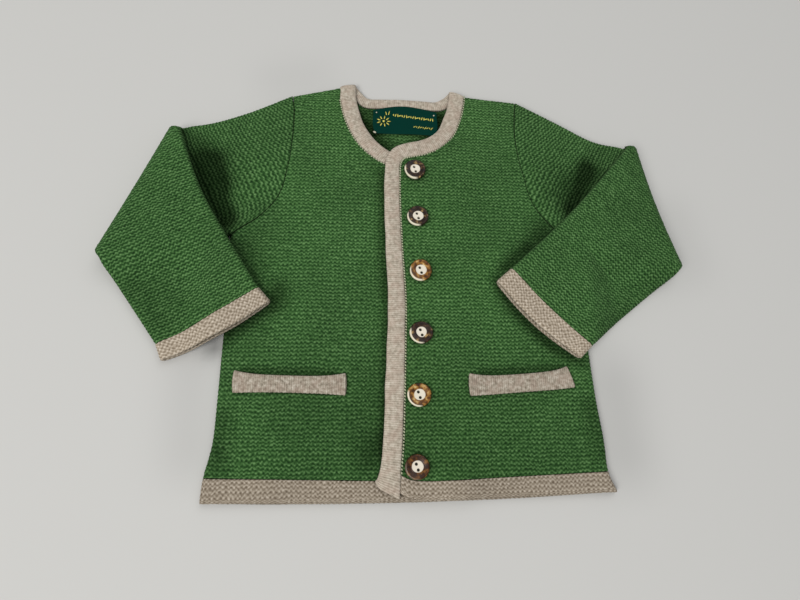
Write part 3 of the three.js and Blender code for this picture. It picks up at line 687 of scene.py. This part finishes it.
# a front's panel: from its hem seam, where it turns down, up and over the shoulder
def frontShape(sections, side):
    start, end = hemSeam + seamHalf, lastSection
    r, seamRound, shoulderStart = cloth["foldRound"], cloth["hemSeamRound"], 12
    seamRoll = seamRound * math.pi / 2 + 1.2
    tips = np.array(sectionEnds(sections, np.array([float(end)])))[:, 0]
    shoulder = unit(tips[1] - tips[0])
    outward = np.array([-shoulder[1], shoulder[0]]) * side
    run = sectionRun(sections, np.linspace(start, end, 200))[-1]

    def shape(u, v):
        s = v * (seamRoll + run + math.pi * r + shoulderTail) - seamRoll
        startFall = turnDown(-s, seamRound)[1]
        past = np.clip(s - run, 0, None)
        onward, endFall = turnDown(past, r, math.pi)
        place = evenPlaces(sections, start, end, np.clip(s / run, 0, 1))
        sideSeam = 1 - smoothStep(place, underarm - 0.5, underarm + 0.3)
        edge = (mix(cloth["edgeRound"], cloth["foldRound"], sideSeam),
                mix(math.pi / 2, cloth["foldTurn"], sideSeam), mix(armholeTail, sideTail, sideSeam))
        push = (onward - r) * smoothStep(s, run - shoulderStart, run)
        points, flat = frontPoints(
            sections, side, place, u, edge, startFall + endFall, outward * push[:, None])
        flat += outward * past[:, None]
        flat[:, 1] -= np.clip(-s, 0, None)
        return points, flat

    return shape, run


def makeFront(name, sections, side):
    shape, run = frontShape(sections, side)
    columns, rowLength = grids["front"]
    rows = int((run + frontTurnIns) / rowLength)
    piece = makeSheet(f"front_{name}_knit", columns, rows, shape, garter, flip=side < 0)
    return finishPiece(piece, greenKnit, "green_knit", f"front_{name}")


# the band's lower edge is round, and turns in under the front
def hemShape(sections, side):
    lipRound, seamRound = 1.55, cloth["hemSeamRound"]
    lip, seamRoll = lipRound * math.pi + 6, seamRound * math.pi / 2 + 1
    start, end = 0.0, hemSeam - seamHalf
    run = sectionRun(sections, np.linspace(start, end, 20))[-1]

    def shape(u, v):
        s = v * (lip + run - lipRound + seamRoll) - lip
        lowOn, lowFall = turnDown(-s, lipRound, math.pi)
        past = s - (run - lipRound)
        endOn, endFall = turnDown(past, seamRound)
        up = np.minimum(s, run - lipRound) + lipRound - (seamRound - endOn) * (past > 0)
        reachUp = np.where(s < 0, lipRound - lowOn, up)
        place = evenPlaces(sections, start, end, np.clip(reachUp / run, 0, 1))
        edge = cloth["foldRound"], cloth["foldTurn"], sideTail
        points, flat = frontPoints(sections, side, place, u, edge, lowFall + endFall)
        flat[:, 1] -= np.where(s < 0, reachUp - s, 0)
        return points, flat

    return shape


bandKnit = {**garter, "depth": 0.18, "crest": 0.4}


def makeFrontHem(name, sections, side):
    piece = makeSheet(f"hem_front_{name}_knit", *grids["hemFront"], hemShape(sections, side), bandKnit,
                      flip=side < 0)
    return finishPiece(piece, beigeKnit, "beige_knit", f"hem_front_{name}")


# The back is one shell: up its lower face from the hem's seam, over the top edge and a little
# way down inside, where it shows in the neck.
back = {"low": 0.5, "high": 2.7, "round": 1.1, "neckEdge": 0.22, "inset": 3.4, "inside": 62, "rowHeight": 13}


def backPlan(u, place):
    right = alongRows(rightSections, place)[:, 1:]
    left = alongRows(leftSections, place)[:, 1:]
    plan = mix(right, left, u[:, None])
    plan[:, 1] -= hemBow * (1 - (2 * u - 1) ** 2) * (1 - smoothStep(place, 0, underarm))
    neckU = np.clip((u - back["neckEdge"]) / (1 - 2 * back["neckEdge"]), 0, 1)
    neck = sewnEdge(mix(rightShoulderRow, leftShoulderRow, neckU))
    tips = np.array([rightSections[-1][1:], leftSections[-1][1:]])
    fromTip = np.clip(np.minimum(u, 1 - u) / back["neckEdge"], 0, 1)
    top = mix(np.where(u[:, None] < 0.5, tips[0], tips[1]), neck, fromTip[:, None])
    pull = smoothStep(place, underarm + 1, lastSection)
    return plan + (top - mix(tips[0], tips[1], u[:, None])) * pull[:, None]


# start and end are places up the sections, and inside is how far the shell runs down again
def backShape(start, end, inside):
    places = np.linspace(start, end, 200)
    run = lengthAlong(backPlan(np.full(200, 0.35), places))

    def shape(u, v):
        s = v * (run[-1] + inside)
        onTop = s > run[-1]
        shoulder = 1 - smoothStep(np.minimum(u, 1 - u), back["neckEdge"] - 0.03, back["neckEdge"] + 0.02)
        last = end - (back["inset"] / back["rowHeight"] * shoulder if end == lastSection else 0)
        place = np.interp(np.where(onTop, 2 * run[-1] - s, s), run, places)
        place = start + (place - start) * (last - start) / (end - start)
        width = np.linalg.norm(backPlan(u * 0, place) - backPlan(u * 0 + 1, place), axis=-1)
        inset = back["inset"] * (1 - smoothStep(place, underarm - 0.6, underarm + 0.5)) + 0.3
        plan = backPlan(mix(inset / width, 1 - inset / width, u), place)
        toEdge = np.minimum(np.minimum(u, 1 - u) * width, np.abs(s - run[-1]))
        if inside < run[-1]:
            toEdge = np.minimum(toEdge, s)
        else:
            toEdge = np.minimum(toEdge, np.minimum(s, run[-1] + inside - s))
        full = quarterRound(toEdge / back["round"])
        middle, half = (back["low"] + back["high"]) / 2, (back["high"] - back["low"]) / 2
        z = middle + np.where(onTop, half, -half) * full
        return np.column_stack([plan, z]), plan.copy()

    return shape, run[-1]


def makeBack():
    shape, run = backShape(hemSeam + seamHalf, lastSection, back["inside"])
    columns, rowLength = grids["back"]
    piece = makeSheet("back_knit", columns, int((run + back["inside"]) / rowLength), shape, garter)
    return finishPiece(piece, greenKnit, "green_knit", "back")


def makeBackHem():
    run = backShape(0.0, hemSeam - seamHalf, 0)[1]
    shape, _ = backShape(0.0, hemSeam - seamHalf, run)
    piece = makeSheet("hem_back_knit", *grids["hemBack"], shape, bandKnit, closed=True)
    return finishPiece(piece, beigeKnit, "beige_knit", "hem_back")


for part in (("left", leftSections, 1), ("right", rightSections, -1)):
    makeFront(*part)
    makeFrontHem(*part)
makeBack()
makeBackHem()

# Sleeves: a flat tube from the armhole, with a fold where the forearm turns back over it.
# Each row is the edge that runs on from the shoulder and the underarm edge, x and y of both.
sleeveFold = {"height": 6.8, "centre": 7.7, "puff": 2.6, "drop": 8.3, "dropReach": 28,
              "cuffBow": 4.3, "seamBow": 2, "corner": 4.8, "seamRounds": (1.2, 0.5), "tail": 1.4,
              "ownLayer": (3.1, 3.7), "bowed": (0.88, 1, 1.85, 2.07), "creased": (1.6, 2.1)}
sleeves = {
    "left": {
        "side": 1,
        "sections": leftSections,
        "lean": 24.8,  # of the sleeve's axis, below level
        "upper": [(92.9, 154, 128.6, 29), (125.5, 136.5, 158, 22.5), (156, 120, 184, 17),
                  (183.6, 115.2, 205.4, 10)],
        "forearm": [(182.6, 112, 206.7, 2.5), (129.2, 53, 172.8, -22.6), (76, 3.4, 130.7, -54.6)],
        "cuff": (64.4, -6.6, 121.4, -63.2),
        "foldBow": -2.6,
    },
    "right": {
        "side": -1,
        "sections": rightSections,
        "lean": 18.6,
        "upper": [(-89.9, 150.2, -128.4, 28.4), (-120, 134, -157, 23), (-148, 122.4, -186, 18),
                  (-171.8, 117.2, -211.4, 11.4)],
        "forearm": [(-171.5, 111.4, -214.4, 4.6), (-151.9, 62.3, -201, -14.5), (-130, 24.4, -187.2, -33.4),
                    (-105.6, -14.2, -172.8, -53.2)],
        "cuff": (-96.9, -24, -168.3, -64.2),
        "foldBow": -0.5,
    },
}
# soft folds of the forearms, as on the fronts
sleeveFolds = [
    (-200, 22, -150, -20, 9, -0.9),
    (-172, 88, -150, 40, 8, 0.7),
    (-186, -10, -150, -36, 8, 0.7),
    (-150, 20, -120, -20, 9, 0.6),
    (190, 30, 150, -20, 9, -0.9),
    (176, 88, 150, 50, 8, 0.7),
    (180, -4, 140, -36, 7, 0.6),
    (140, 44, 104, 4, 9, 0.6),
]


# both edges of a sleeve at a station: 0 to 1 the upper arm, 1 to 2 the fold, 2 to 3 the
# forearm and 3 to 4 the cuff
def sleeveEdges(sleeve, station):
    upper, forearm, cuff = (np.array(sleeve[key], float) for key in ("upper", "forearm", "cuff"))
    onUpper = alongRows(upper, np.clip(station, 0, 1) * (len(upper) - 1))
    onFold = mix(upper[-1], forearm[0], np.clip(station - 1, 0, 1)[:, None])
    onForearm = alongRows(forearm, np.clip(station - 2, 0, 1) * (len(forearm) - 1))
    onCuff = mix(forearm[-1], cuff, np.clip(station - 3, 0, 1)[:, None])
    stretches = [(station <= end)[:, None] for end in (1, 2, 3)]
    edges = np.select(stretches, [onUpper, onFold, onForearm], onCuff)
    return edges[:, :2], edges[:, 2:]


def armhole(sleeve, t):
    at = lambda share: alongRows(sleeve["sections"], mix(lastSection, underarm, np.clip(share, 0, 1)))[:, 1:]
    along = unit(at(t + 0.02) - at(t - 0.02))
    out = np.column_stack([-along[:, 1], along[:, 0]]) * sleeve["side"]
    return at(t) + out * cloth["armholeGap"]


# how far the forearm sinks where neither the body nor the upper sleeve is under it
def drapeDrop(sleeve, x, y):
    armpit, elbow = sleeve["upper"][0], sleeve["upper"][-1]
    run = np.clip((x - armpit[2]) / (elbow[2] - armpit[2]), 0, 1)
    belowSleeve = mix(armpit[3], elbow[3], run) - y
    besideBody = (x - armpit[2]) * sleeve["side"] - 2
    near = np.minimum(belowSleeve, besideBody)
    return sleeveFold["drop"] * smoothStep(near, 0, sleeveFold["dropReach"])


# a place round the flat tube, by distance from the middle of its underarm edge, over the
# layer that lies up on the upper arm: how far across, how high, and how far across unrolled
def roundTube(share, width, inset):
    r = sleeveFold["height"] / 2
    flat, quarter = width - 2 * r, math.pi * r / 2
    s = share * (2 * flat + 4 * quarter)
    lowerStart = 3 * quarter + flat
    angle = np.clip(s / r, 0, math.pi / 2) + np.clip((s - quarter - flat) / r, 0, math.pi)
    angle = angle + np.clip((s - lowerStart - flat) / r, 0, math.pi / 2)
    centre = width - r - np.clip(s - quarter, 0, flat) + np.clip(s - lowerStart, 0, flat)
    across = centre + (r - inset) * np.cos(angle)
    height = r + (r - inset) * np.sin(angle)
    topEdge = 2 * quarter + flat
    unrolled = np.where(s < topEdge, width - r - (s - quarter), r + (s - lowerStart))
    return across, height, unrolled


def foldNormal(sleeve):
    topX, topY, lowX, lowY = sleeve["upper"][-1]
    return unit(np.array([topY - lowY, lowX - topX])) * sleeve["side"]


def sleevePoint(sleeve, station, across, height):
    top, low = sleeveEdges(sleeve, station)
    width = np.linalg.norm(top - low, axis=-1)
    t = across / width
    arch = np.sin(math.pi * np.clip(t, 0, 1))
    plan = mix(top, low, t[:, None])
    first = np.array(sleeve["upper"][0], float)
    toArmhole = armhole(sleeve, t) - mix(first[:2], first[2:], t[:, None])
    plan = plan + toArmhole * (np.clip(1 - station, 0, 1) ** 2)[:, None]
    ownLayer = smoothStep(height, *sleeveFold["ownLayer"])
    toFlap = np.clip(station / np.maximum(0.85 * (1 - t), 0.05), 0, 1)
    puff = sleeveFold["puff"] * np.sin(math.pi * toFlap) * arch * ownLayer
    radius = sleeveFold["centre"] - height
    angle = math.pi * np.clip(station - 1, 0, 1)
    plan = plan + foldNormal(sleeve) * (radius * np.sin(angle))[:, None]
    toMouth = unit(np.array(sleeve["cuff"][:2]) - np.array(sleeve["forearm"][-1][:2]))
    bow = mix(sleeveFold["seamBow"], sleeveFold["cuffBow"], np.clip(station - 3, 0, 1))
    plan = plan + toMouth * (bow * np.clip(station - 2, 0, 1) ** 2 * arch)[:, None]
    # the fold is a little bowed, and its two corners are round
    corner = sleeveFold["corner"]
    rounding = corner * (1 - quarterRound(np.minimum(across, width - across) / corner))
    pull = (sleeve["foldBow"] * arch - rounding) * plateau(station, *sleeveFold["bowed"])
    plan = plan + foldNormal(sleeve) * pull[:, None]
    x, y = plan.T
    crease = softFolds(x, y, sleeveFolds) * smoothStep(station, *sleeveFold["creased"])
    z = sleeveFold["centre"] - radius * np.cos(angle) + np.where(station <= 1, puff, 0) + crease
    return np.column_stack([plan, z - drapeDrop(sleeve, x, y) * (station >= 2)])


# where a place lay before the sleeve was folded: across the sleeve and along its axis
def unfolded(sleeve, station, unrolled):
    top, low = sleeveEdges(sleeve, station)
    width = np.linalg.norm(top - low, axis=-1)
    plan = mix(top, low, (unrolled / width)[:, None])
    normal = foldNormal(sleeve)
    foldTop = np.array(sleeve["upper"][-1][:2])
    foldLength = math.pi * sleeveFold["centre"]
    back = -(plan - foldTop) @ normal
    turned = plan + normal * (2 * back + foldLength)[:, None]
    bending = plan + normal * (np.clip(station - 1, 0, 1) * foldLength)[:, None]
    place = np.where((station >= 2)[:, None], turned, bending)
    lean = math.radians(sleeve["lean"])
    axis = np.array([sleeve["side"] * math.cos(lean), -math.sin(lean)])
    return np.column_stack([place @ np.array([-axis[1], axis[0]]), place @ axis])


# points and flat places round the tube of a sleeve or cuff, with how far across and how high
def tubePoints(sleeve, station, share, inset, runOn):
    top, low = sleeveEdges(sleeve, station)
    width = np.linalg.norm(top - low, axis=-1)
    across, height, unrolled = roundTube(share, width, inset)
    flat = unfolded(sleeve, station, unrolled)
    flat[:, 1] += runOn
    return sleevePoint(sleeve, station, across, height), flat, across / width, height


# stations that lie evenly in millimetres along the sleeve, with its seams turned in
def sleeveShape(sleeve):
    stations = np.linspace(0, 3, 400)
    top, low = sleeveEdges(sleeve, stations)
    arc = np.clip(stations - 1, 0, 1) * math.pi * (sleeveFold["centre"] - 1)
    run = lengthAlong(np.column_stack([(top + low) / 2, arc]))
    atBody, atCuff = sleeveFold["seamRounds"]
    before, after = (r * math.pi / 2 + sleeveFold["tail"] for r in (atBody, atCuff))

    def shape(u, v):
        s = v * (before + run[-1] + after) - before
        sink = turnDown(-s, atBody)[1] + turnDown(s - run[-1], atCuff)[1]
        station = np.interp(np.clip(s, 0, run[-1]), run, stations)
        return tubePoints(sleeve, station, u, np.minimum(sink, 3.0), s - np.clip(s, 0, run[-1]))[:2]

    return shape, run[-1]


sleeveKnit = {**garter, "stitch": 2.9, "ridge": 2.5, "depth": 0.17, "crest": 0.85}


def makeSleeve(name):
    sleeve = sleeves[name]
    shape, run = sleeveShape(sleeve)
    columns, rowLength = grids["sleeve"]
    piece = makeSheet(f"sleeve_{name}_knit", columns, int(run / rowLength), shape, sleeveKnit, closed=True)
    return finishPiece(piece, sleeveWool, "green_knit", f"sleeve_{name}")


cuff = {"lip": 1.45, "inside": 9, "open": 1.6, "openBelow": (2.6, 4.2), "swell": 0.25}


def makeCuff(name):
    sleeve = sleeves[name]
    top, low = sleeveEdges(sleeve, np.array([3.0, 4.0]))
    run = np.linalg.norm((top[1] + low[1] - top[0] - low[0]) / 2)
    lip, seamRound = cuff["lip"], sleeveFold["seamRounds"][1]
    before = seamRound * math.pi / 2 + sleeveFold["tail"]

    def shape(u, v):
        s = v * (before + run - lip + math.pi * lip + cuff["inside"]) - before
        onward, lipSink = turnDown(s - (run - lip), lip, math.pi)
        sink = turnDown(-s, seamRound)[1] + lipSink
        reach = np.clip(s, 0, run - lip) + onward
        station = 3.01 + 0.99 * np.clip(reach / run, 0, 1)
        points, flat, t, height = tubePoints(sleeve, station, u, sink - cuff["swell"], s - reach)
        gape = cuff["open"] * np.sin(math.pi * np.clip(t, 0, 1)) * smoothStep(station, 3, 4)
        points[:, 2] += gape * (1 - smoothStep(height, *cuff["openBelow"]))
        return points, flat

    piece = makeSheet(f"cuff_{name}_knit", *grids["cuff"], shape, bandKnit, closed=True)
    return finishPiece(piece, beigeKnit, "beige_knit", f"cuff_{name}")


for name in sleeves:
    makeSleeve(name)
    makeCuff(name)

# The binding: a soft round-edged strip, a little uneven in width
tape = {"edge": 0.75, "crown": 0.9, "uneven": 0.3, "rib": 1.55, "ribDepth": 0.1, "corner": 3.5,
        "setBack": 0.6, "endRound": 1.6}


def bindingShape(u, v):
    turn = 2 * math.pi * u
    place = mix(tape["setBack"], routeKnots[-1] - tape["setBack"], v)
    rows = np.minimum(routeRows(place), len(bindingRoute) - 1.001)
    middle, across, out, width, thick = bindingAt(rows)
    close = quarterRound(np.minimum(v, 1 - v) * routeKnots[-1] / tape["endRound"])
    halfWidth = width / 2 - 0.1 + tape["uneven"] * unevenness(place, 0 * place, 14)
    halfWidth = halfWidth - tape["endRound"] * (1 - close)
    side, rise = signedPower(np.cos(turn), tape["edge"]), signedPower(np.sin(turn), tape["crown"])
    sway = 0.5 * unevenness(place, side * halfWidth, 4)
    ribs = tape["ribDepth"] * np.cos(2 * math.pi * (place + sway) / tape["rib"]) * np.clip(rise, 0, 1)
    lift = close * (rise * thick / 2 + ribs)
    points = middle + across * (side * halfWidth)[:, None] + out * lift[:, None]
    # the free corner at the hem is round
    fromEnd = np.clip(1 - place / (2 * tape["corner"]), 0, 1)
    cornerLift = 1 - quarterRound((1 + side) * halfWidth / tape["corner"])
    points[:, 1] += tape["corner"] * cornerLift * fromEnd
    return points, np.column_stack([side * halfWidth, place])


columns, rowLength = grids["binding"]
binding = makeSheet("edge_binding_tape", columns, int(routeKnots[-1] / rowLength), bindingShape, closed=True)
finishPiece(binding, tapeKnit, "beige_binding", "edge_binding")

# Pocket welts: narrow tape along a slit, lying on the front, its ends flared. Each row is x of
# both ends, y of the lower and upper edge, slant, how far the upper and lower edges sag, and
# how far the outer end leans.
welts = {
    "right": (-119.3, -44.2, -87.0, -72.2, -0.03, 2.5, -0.5, 0),
    "left": (40.4, 115, -86.4, -71.3, 0.068, 2.5, 0.4, 2.3),
}
weltTape = {"round": 1.2, "height": 1.5, "waist": 0.06, "ripple": 0.12, "ripplePitch": 3.1,
            "rib": 1.55, "ribDepth": 0.07}


def makeWelt(name, side):
    lowX, highX, lowY, highY, slant, sagHigh, sagLow, lean = welts[name]
    r = weltTape["round"]

    def shape(u, v):
        turn = 2 * math.pi * v
        corner, rise = signedPower(np.cos(turn), 0.3), signedPower(np.sin(turn), 0.75)
        close = quarterRound(np.minimum(u, 1 - u) * (highX - lowX) / r)
        half = ((highY - lowY) / 2 + 0.3) * (1 - weltTape["waist"] * np.sin(math.pi * u) ** 0.7)
        bulge = 0.5 * np.sin(math.pi * (corner + 1) / 2) * (2 * u - 1) ** 7 - lean * corner * u ** 9
        x = mix(lowX, highX, u) + bulge
        dip = mix(sagLow, sagHigh, (corner + 1) / 2) * (1 - np.abs(2 * u - 1) ** 3.5) - 0.35 * lean * u ** 7
        wave = np.cos(2 * math.pi * x / weltTape["ripplePitch"])
        ripple = weltTape["ripple"] * wave * np.clip(-corner, 0, 1)
        middle = (lowY + highY) / 2 + slant * (x - (lowX + highX) / 2)
        y = middle + corner * half * mix(0.82, 1, close) - dip + ripple
        ribs = weltTape["ribDepth"] * np.cos(2 * math.pi * x / weltTape["rib"]) * np.clip(rise, 0, 1)
        base = frontHeight(x, y, side) + weltTape["height"]
        return np.column_stack([x, y, base + (rise * r + ribs) * close]), np.column_stack([y, x])

    piece = makeSheet(f"pocket_welt_{name}_tape", *grids["welt"], shape, closed=True)
    return finishPiece(piece, weltKnit, "beige_knit", f"pocket_welt_{name}")


makeWelt("left", 1)
makeWelt("right", -1)

# The woven label: a dark satin ground with plain gold marks in place of any words
label = {"x": 0.5, "half": 26, "top": 146, "bow": 4.4, "low": 120.2, "z": 4.3, "ripple": 0.35}
satin, tree, shader = newMaterial("woven satin label, dark green", {
    "Roughness": 0.7, "Specular IOR Level": 0.05})
weave = addNode(tree, "ShaderNodeTexWave", {
    "Vector": flatPlace(tree), "Scale": 0.55, "Distortion": 1.5, "Detail": 2}, bands_direction="Y")
ground = rampColour(tree, weave.outputs["Fac"], [(0.0, "#002019"), (0.6, "#003229"), (1.0, "#074439")])
tree.links.new(ground, shader.inputs["Base Color"])
gold, _, _ = newMaterial("gold metallic thread", {
    "Base Color": linear("#d9d064"), "Roughness": 0.45, "Metallic": 0.3})
thread, _, _ = newMaterial("cream sewing thread", {**wool, "Base Color": linear("#c9c6ae")})


def labelShape(u, v):
    across = 2 * u - 1
    top = label["top"] - label["bow"] * across ** 2
    half = label["half"] - 1.5 * (1 - v) + 2.2 * np.sin(math.pi * v) * (1 - v)
    x = label["x"] + across * half
    y = mix(label["low"] - 0.6 * across ** 2, top, v)
    z = label["z"] + label["ripple"] * np.sin(4 * across + 2 * v) - 0.4 * np.abs(2 * v - 1) ** 8
    return np.column_stack([x, y, z]), np.column_stack([x, y])


# small pointed stitches: x, y and z of each middle, its half length, half width and slant
def makeStitches(name, stitches, material, slotName):
    bm = bmesh.new()
    for x, y, z, length, width, slant in stitches:
        laid = Matrix.Translation((x, y, z)) @ Matrix.Rotation(slant, 4, "Z")
        drawn = laid @ Matrix.Diagonal((length, width, min(length, width) * 0.7, 1))
        bmesh.ops.create_icosphere(bm, subdivisions=1, radius=1, matrix=drawn)
    mesh = bpy.data.meshes.new(name)
    bm.to_mesh(mesh)
    bm.free()
    mesh.transform(Matrix.Scale(mm, 4))
    return finishPiece(addPiece(name, mesh), material, slotName)


def makeLabel():
    finishPiece(makeSheet("label_satin", *grids["label"], labelShape), satin, "woven_label", "label")
    z = label["z"] + 0.25
    marks = [(x, 137.2 - 0.1 * (x + 9), z, 1.75 if i % 4 else 1.2, 0.6, (1.57, 1.2, 1.57, 0.3)[i % 4])
             for i, x in enumerate(np.linspace(-9, 23, 19))]
    marks += [(x, 127 - 0.08 * (x - 8), z, (1.5, 1.0, 1.9)[i % 3], 0.45, (0.5, 1.3, 0.9)[i % 3])
              for i, x in enumerate(np.linspace(8, 22, 9))]
    # a rosette of leaves
    for i in range(9):
        turn = 2 * math.pi * i / 9
        marks.append((-17 + 4.2 * math.cos(turn), 131 + 3.6 * math.sin(turn), z, 1.9, 0.55, turn))
    marks += [(-17, 131, z, 1.2, 1.2, 0), (-12.6, 139, z, 2.4, 0.5, 1.3), (-15, 138.5, z, 2.2, 0.5, 1.8)]
    makeStitches("label_marks", marks, gold, "woven_label")
    corners = [(-22.8, 138.9, z, 0.7, 0.6, 0), (24, 138.4, z, 0.8, 0.7, 0), (-24.3, 120.4, z, 1.6, 0.9, -0.5)]
    makeStitches("label_stitches", corners, thread, "woven_label")


makeLabel()

# Buttons sawn from antler: a pale core in a brown mottled rim, with a painted highlight on the lower left of
# the bevelled edge
buttonRound = {"holeRadius": 0.95, "apart": 3.9, "lean": 0.32, "holeDepth": 2.0}
# outline of half a section, as distance from the middle and height
buttonProfile = np.array([(0, 0.3), (4.2, 0.3), (7.2, 0.9), (8.0, 1.7), (8.15, 2.4), (7.8, 3.1), (7.0, 3.4),
                          (5.6, 3.1), (4.3, 2.75), (3.7, 2.95), (2.6, 2.8), (0, 2.75)])
buttonHoles = [(-end * buttonRound["apart"] * math.sin(buttonRound["lean"]),
                end * buttonRound["apart"] * math.cos(buttonRound["lean"])) for end in (-0.5, 0.5)]
# x, y, colour set and the seed of each one's shape
buttonPlaces = [
    (6.4, 83.9, "dark", 1),
    (7.6, 44.5, "dark", 2),
    (8.7, 1.3, "amber", 3),
    (7.9, -45, "dark", 4),
    (5.4, -88.3, "amber", 5),
    (2.9, -134.9, "brown", 6),
]
# how bright the painted highlight on the bevelled edge is, and the colours of the rim's mottling
antlerLooks = {
    "dark": (0.9, [(0.3, "#120a05"), (0.5, "#2c1a0c"), (0.6, "#4c361f"), (0.72, "#b2935f")]),
    "amber": (0.9, [(0.3, "#2a1507"), (0.46, "#633c13"), (0.58, "#a17230"), (0.72, "#dcc38a")]),
    "brown": (0.1, [(0.3, "#1c0d05"), (0.5, "#3f230c"), (0.62, "#6d461b"), (0.78, "#9c7437")]),
}


# Antler, polished: the UV map holds millimetres from the button's middle
def antlerMaterial(name, edgeHighlight, stops):
    material, tree, shader = newMaterial(name, {
        "Roughness": 0.36, "Specular IOR Level": 0.3, "Coat Weight": 0.08, "Coat Roughness": 0.15})
    uv, place = flatPlace(tree), piecePlace(tree)
    ring = rampColour(tree, noise(tree, place, 330, 3), stops)
    away = vectorMaths(tree, "LENGTH", vectorMaths(tree, "SUBTRACT", uv, (0.2, 0.2, 0)))
    wavy = maths(tree, "MULTIPLY_ADD", noise(tree, place, 120, 1), 1.6, away)
    # a painted highlight on the lower left of the bevelled edge, the side the light comes from
    bright = spread(tree, vectorMaths(tree, "DOT_PRODUCT", uv, (-0.75, -0.65, 0)), 3.0, 5.0, 0, edgeHighlight)
    rim = maths(tree, "MULTIPLY", bright, spread(tree, vectorMaths(tree, "LENGTH", uv), 6.9, 7.3))
    whole = blend(tree, rim, ring, linear("#efe6cc"))
    whole = blend(tree, spread(tree, wavy, 4.35, 4.75, 1, 0), whole, linear("#e9e0cd"))
    # the two holes are painted dark inside, as the shade in them
    for hole in buttonHoles:
        inside = spread(tree, vectorMaths(tree, "DISTANCE", uv, (*hole, 0)), 0.8, 1.1, 1, 0)
        whole = blend(tree, inside, whole, linear("#2a2c22"))
    tree.links.new(whole, shader.inputs["Base Color"])
    return material


def makeButton(number, middleX, middleY, material, seed):
    wobble = np.random.default_rng(seed).uniform(-1, 1, 4)
    run = lengthAlong(buttonProfile)
    base = frontHeight(np.array([middleX]), np.array([middleY]), 1)[0]

    def shape(u, v):
        turn = 2 * math.pi * u
        share = mix(0.02, 1, v) ** 0.8 * run[-1]
        reach, height = (np.interp(share, run, buttonProfile[:, i]) for i in (0, 1))
        reach = reach * (1 + 0.025 * wobble[0] * np.cos(2 * turn) + 0.02 * wobble[1] * np.sin(3 * turn))
        x, y = reach * np.cos(turn), reach * np.sin(turn)
        for holeX, holeY in buttonHoles:
            fromHole = np.hypot(x - holeX, y - holeY)
            well = 1 - smoothStep(fromHole, buttonRound["holeRadius"] - 0.2, buttonRound["holeRadius"] + 0.15)
            height = height - np.where(share > run[6], buttonRound["holeDepth"] * well, 0)
        tilt = 0.02 * (wobble[2] * x + wobble[3] * y)
        points = np.column_stack([middleX + x, middleY + y, base + height + tilt])
        return points, np.column_stack([x, y])

    piece = makeSheet(f"button_{number}_antler", *grids["button"], shape, closed=True)
    return finishPiece(piece, material, "antler", f"button_{number}")


antlers = {key: antlerMaterial(f"polished antler, {key}", *look) for key, look in antlerLooks.items()}
for number, (x, y, look, seed) in enumerate(buttonPlaces, 1):
    makeButton(number, x, y, antlers[look], seed)

# Linking stitches: a row of beads where the binding is sewn on, a little uneven
linking = {"pitch": 2.1, "length": 0.95, "width": 0.64, "height": 1.45, "outset": 0.15}
linkWool, _, _ = newMaterial("linking yarn, grey green", {**wool, "Base Color": linear("#b3b797")})


def bindingStitches(first, last):
    places = np.arange(routeKnots[first], routeKnots[last], linking["pitch"])
    middle, across, out, width, _ = bindingAt(routeRows(places))
    at = middle + across * (width / 2 + linking["outset"])[:, None] + out * linking["height"]
    jitter = unevenness(places, 0 * places, 1.3)
    slants = np.arctan2(across[:, 1], across[:, 0]) + math.pi / 2 + 0.5
    lengths = linking["length"] * (1 + 0.25 * jitter)
    return [(*point, length, linking["width"], slant) for point, length, slant in zip(at, lengths, slants)]


makeStitches("binding_stitches", bindingStitches(1, 18) + bindingStitches(34, 40), linkWool, "beige_binding")

view = {"target": (-5.6, -18, 0), "distance": 382.4, "azimuth": 18.44, "elevation": 72.54, "roll": 18.38,
        "focal": 520, "pictureWidth": 800}


def makeCamera():
    a, e, roll = (math.radians(view[key]) for key in ("azimuth", "elevation", "roll"))
    forward = Vector((math.sin(a) * math.cos(e), math.cos(a) * math.cos(e), -math.sin(e)))
    level = Vector((math.cos(a), -math.sin(a), 0))
    upright = level.cross(forward)
    right = math.cos(roll) * level + math.sin(roll) * upright
    up = math.cos(roll) * upright - math.sin(roll) * level
    camera = bpy.data.objects.new("camera", bpy.data.cameras.new("camera"))
    bpy.context.scene.collection.objects.link(camera)
    turned = Matrix((right, up, -forward)).transposed().to_4x4()
    place = (Vector(view["target"]) - forward * view["distance"]) * mm
    camera.matrix_world = Matrix.Translation(place) @ turned
    camera.data.sensor_width = 36
    camera.data.lens = 36 * view["focal"] / view["pictureWidth"]
    camera.data.clip_start = 0.01
    bpy.context.scene.camera = camera


def makeLight(name, place, size, power, colour):
    light = bpy.data.lights.new(name, "AREA")
    light.shape = "RECTANGLE"
    light.size, light.size_y = size
    light.energy = power
    light.color = colour
    lamp = bpy.data.objects.new(name, light)
    bpy.context.scene.collection.objects.link(lamp)
    lamp.location = place
    lamp.rotation_euler = (-Vector(place)).to_track_quat("-Z", "Y").to_euler()


def makeStage():
    material, tree, shader = newMaterial("matt pale cloth", {"Roughness": 0.95, "Specular IOR Level": 0.1})
    # the pale floor, with painted shadows round the cardigan from the shade attribute
    colour = scaleColour(tree, linear("#cfceca")[:3], shadeHere(tree))
    tree.links.new(colour, shader.inputs["Base Color"])
    floor = makeSheet("floor", *grids["floor"], lambda u, v: (
        np.column_stack([1600 * u - 800, 1600 * v - 800, 0 * u]), np.column_stack([u, v])))
    floor.data.materials.append(material)
    floor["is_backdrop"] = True
    world = bpy.data.worlds.new("soft room")
    bpy.context.scene.world = world
    world.use_nodes = True
    sky = world.node_tree.nodes["Background"]
    sky.inputs["Color"].default_value = (0.97, 0.98, 1, 1)
    sky.inputs["Strength"].default_value = 0.36


makeStage()
makeCamera()
makeLight("window", (-1.2, -1.1, 1.9), (1.4, 1.4), 40, (1, 0.995, 0.985))
makeLight("fill", (0.8, 1.2, 2.2), (2, 2), 14, (0.98, 0.99, 1))
bpy.context.scene.view_settings.view_transform = "Standard"

visualBox = [list(corner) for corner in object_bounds()]
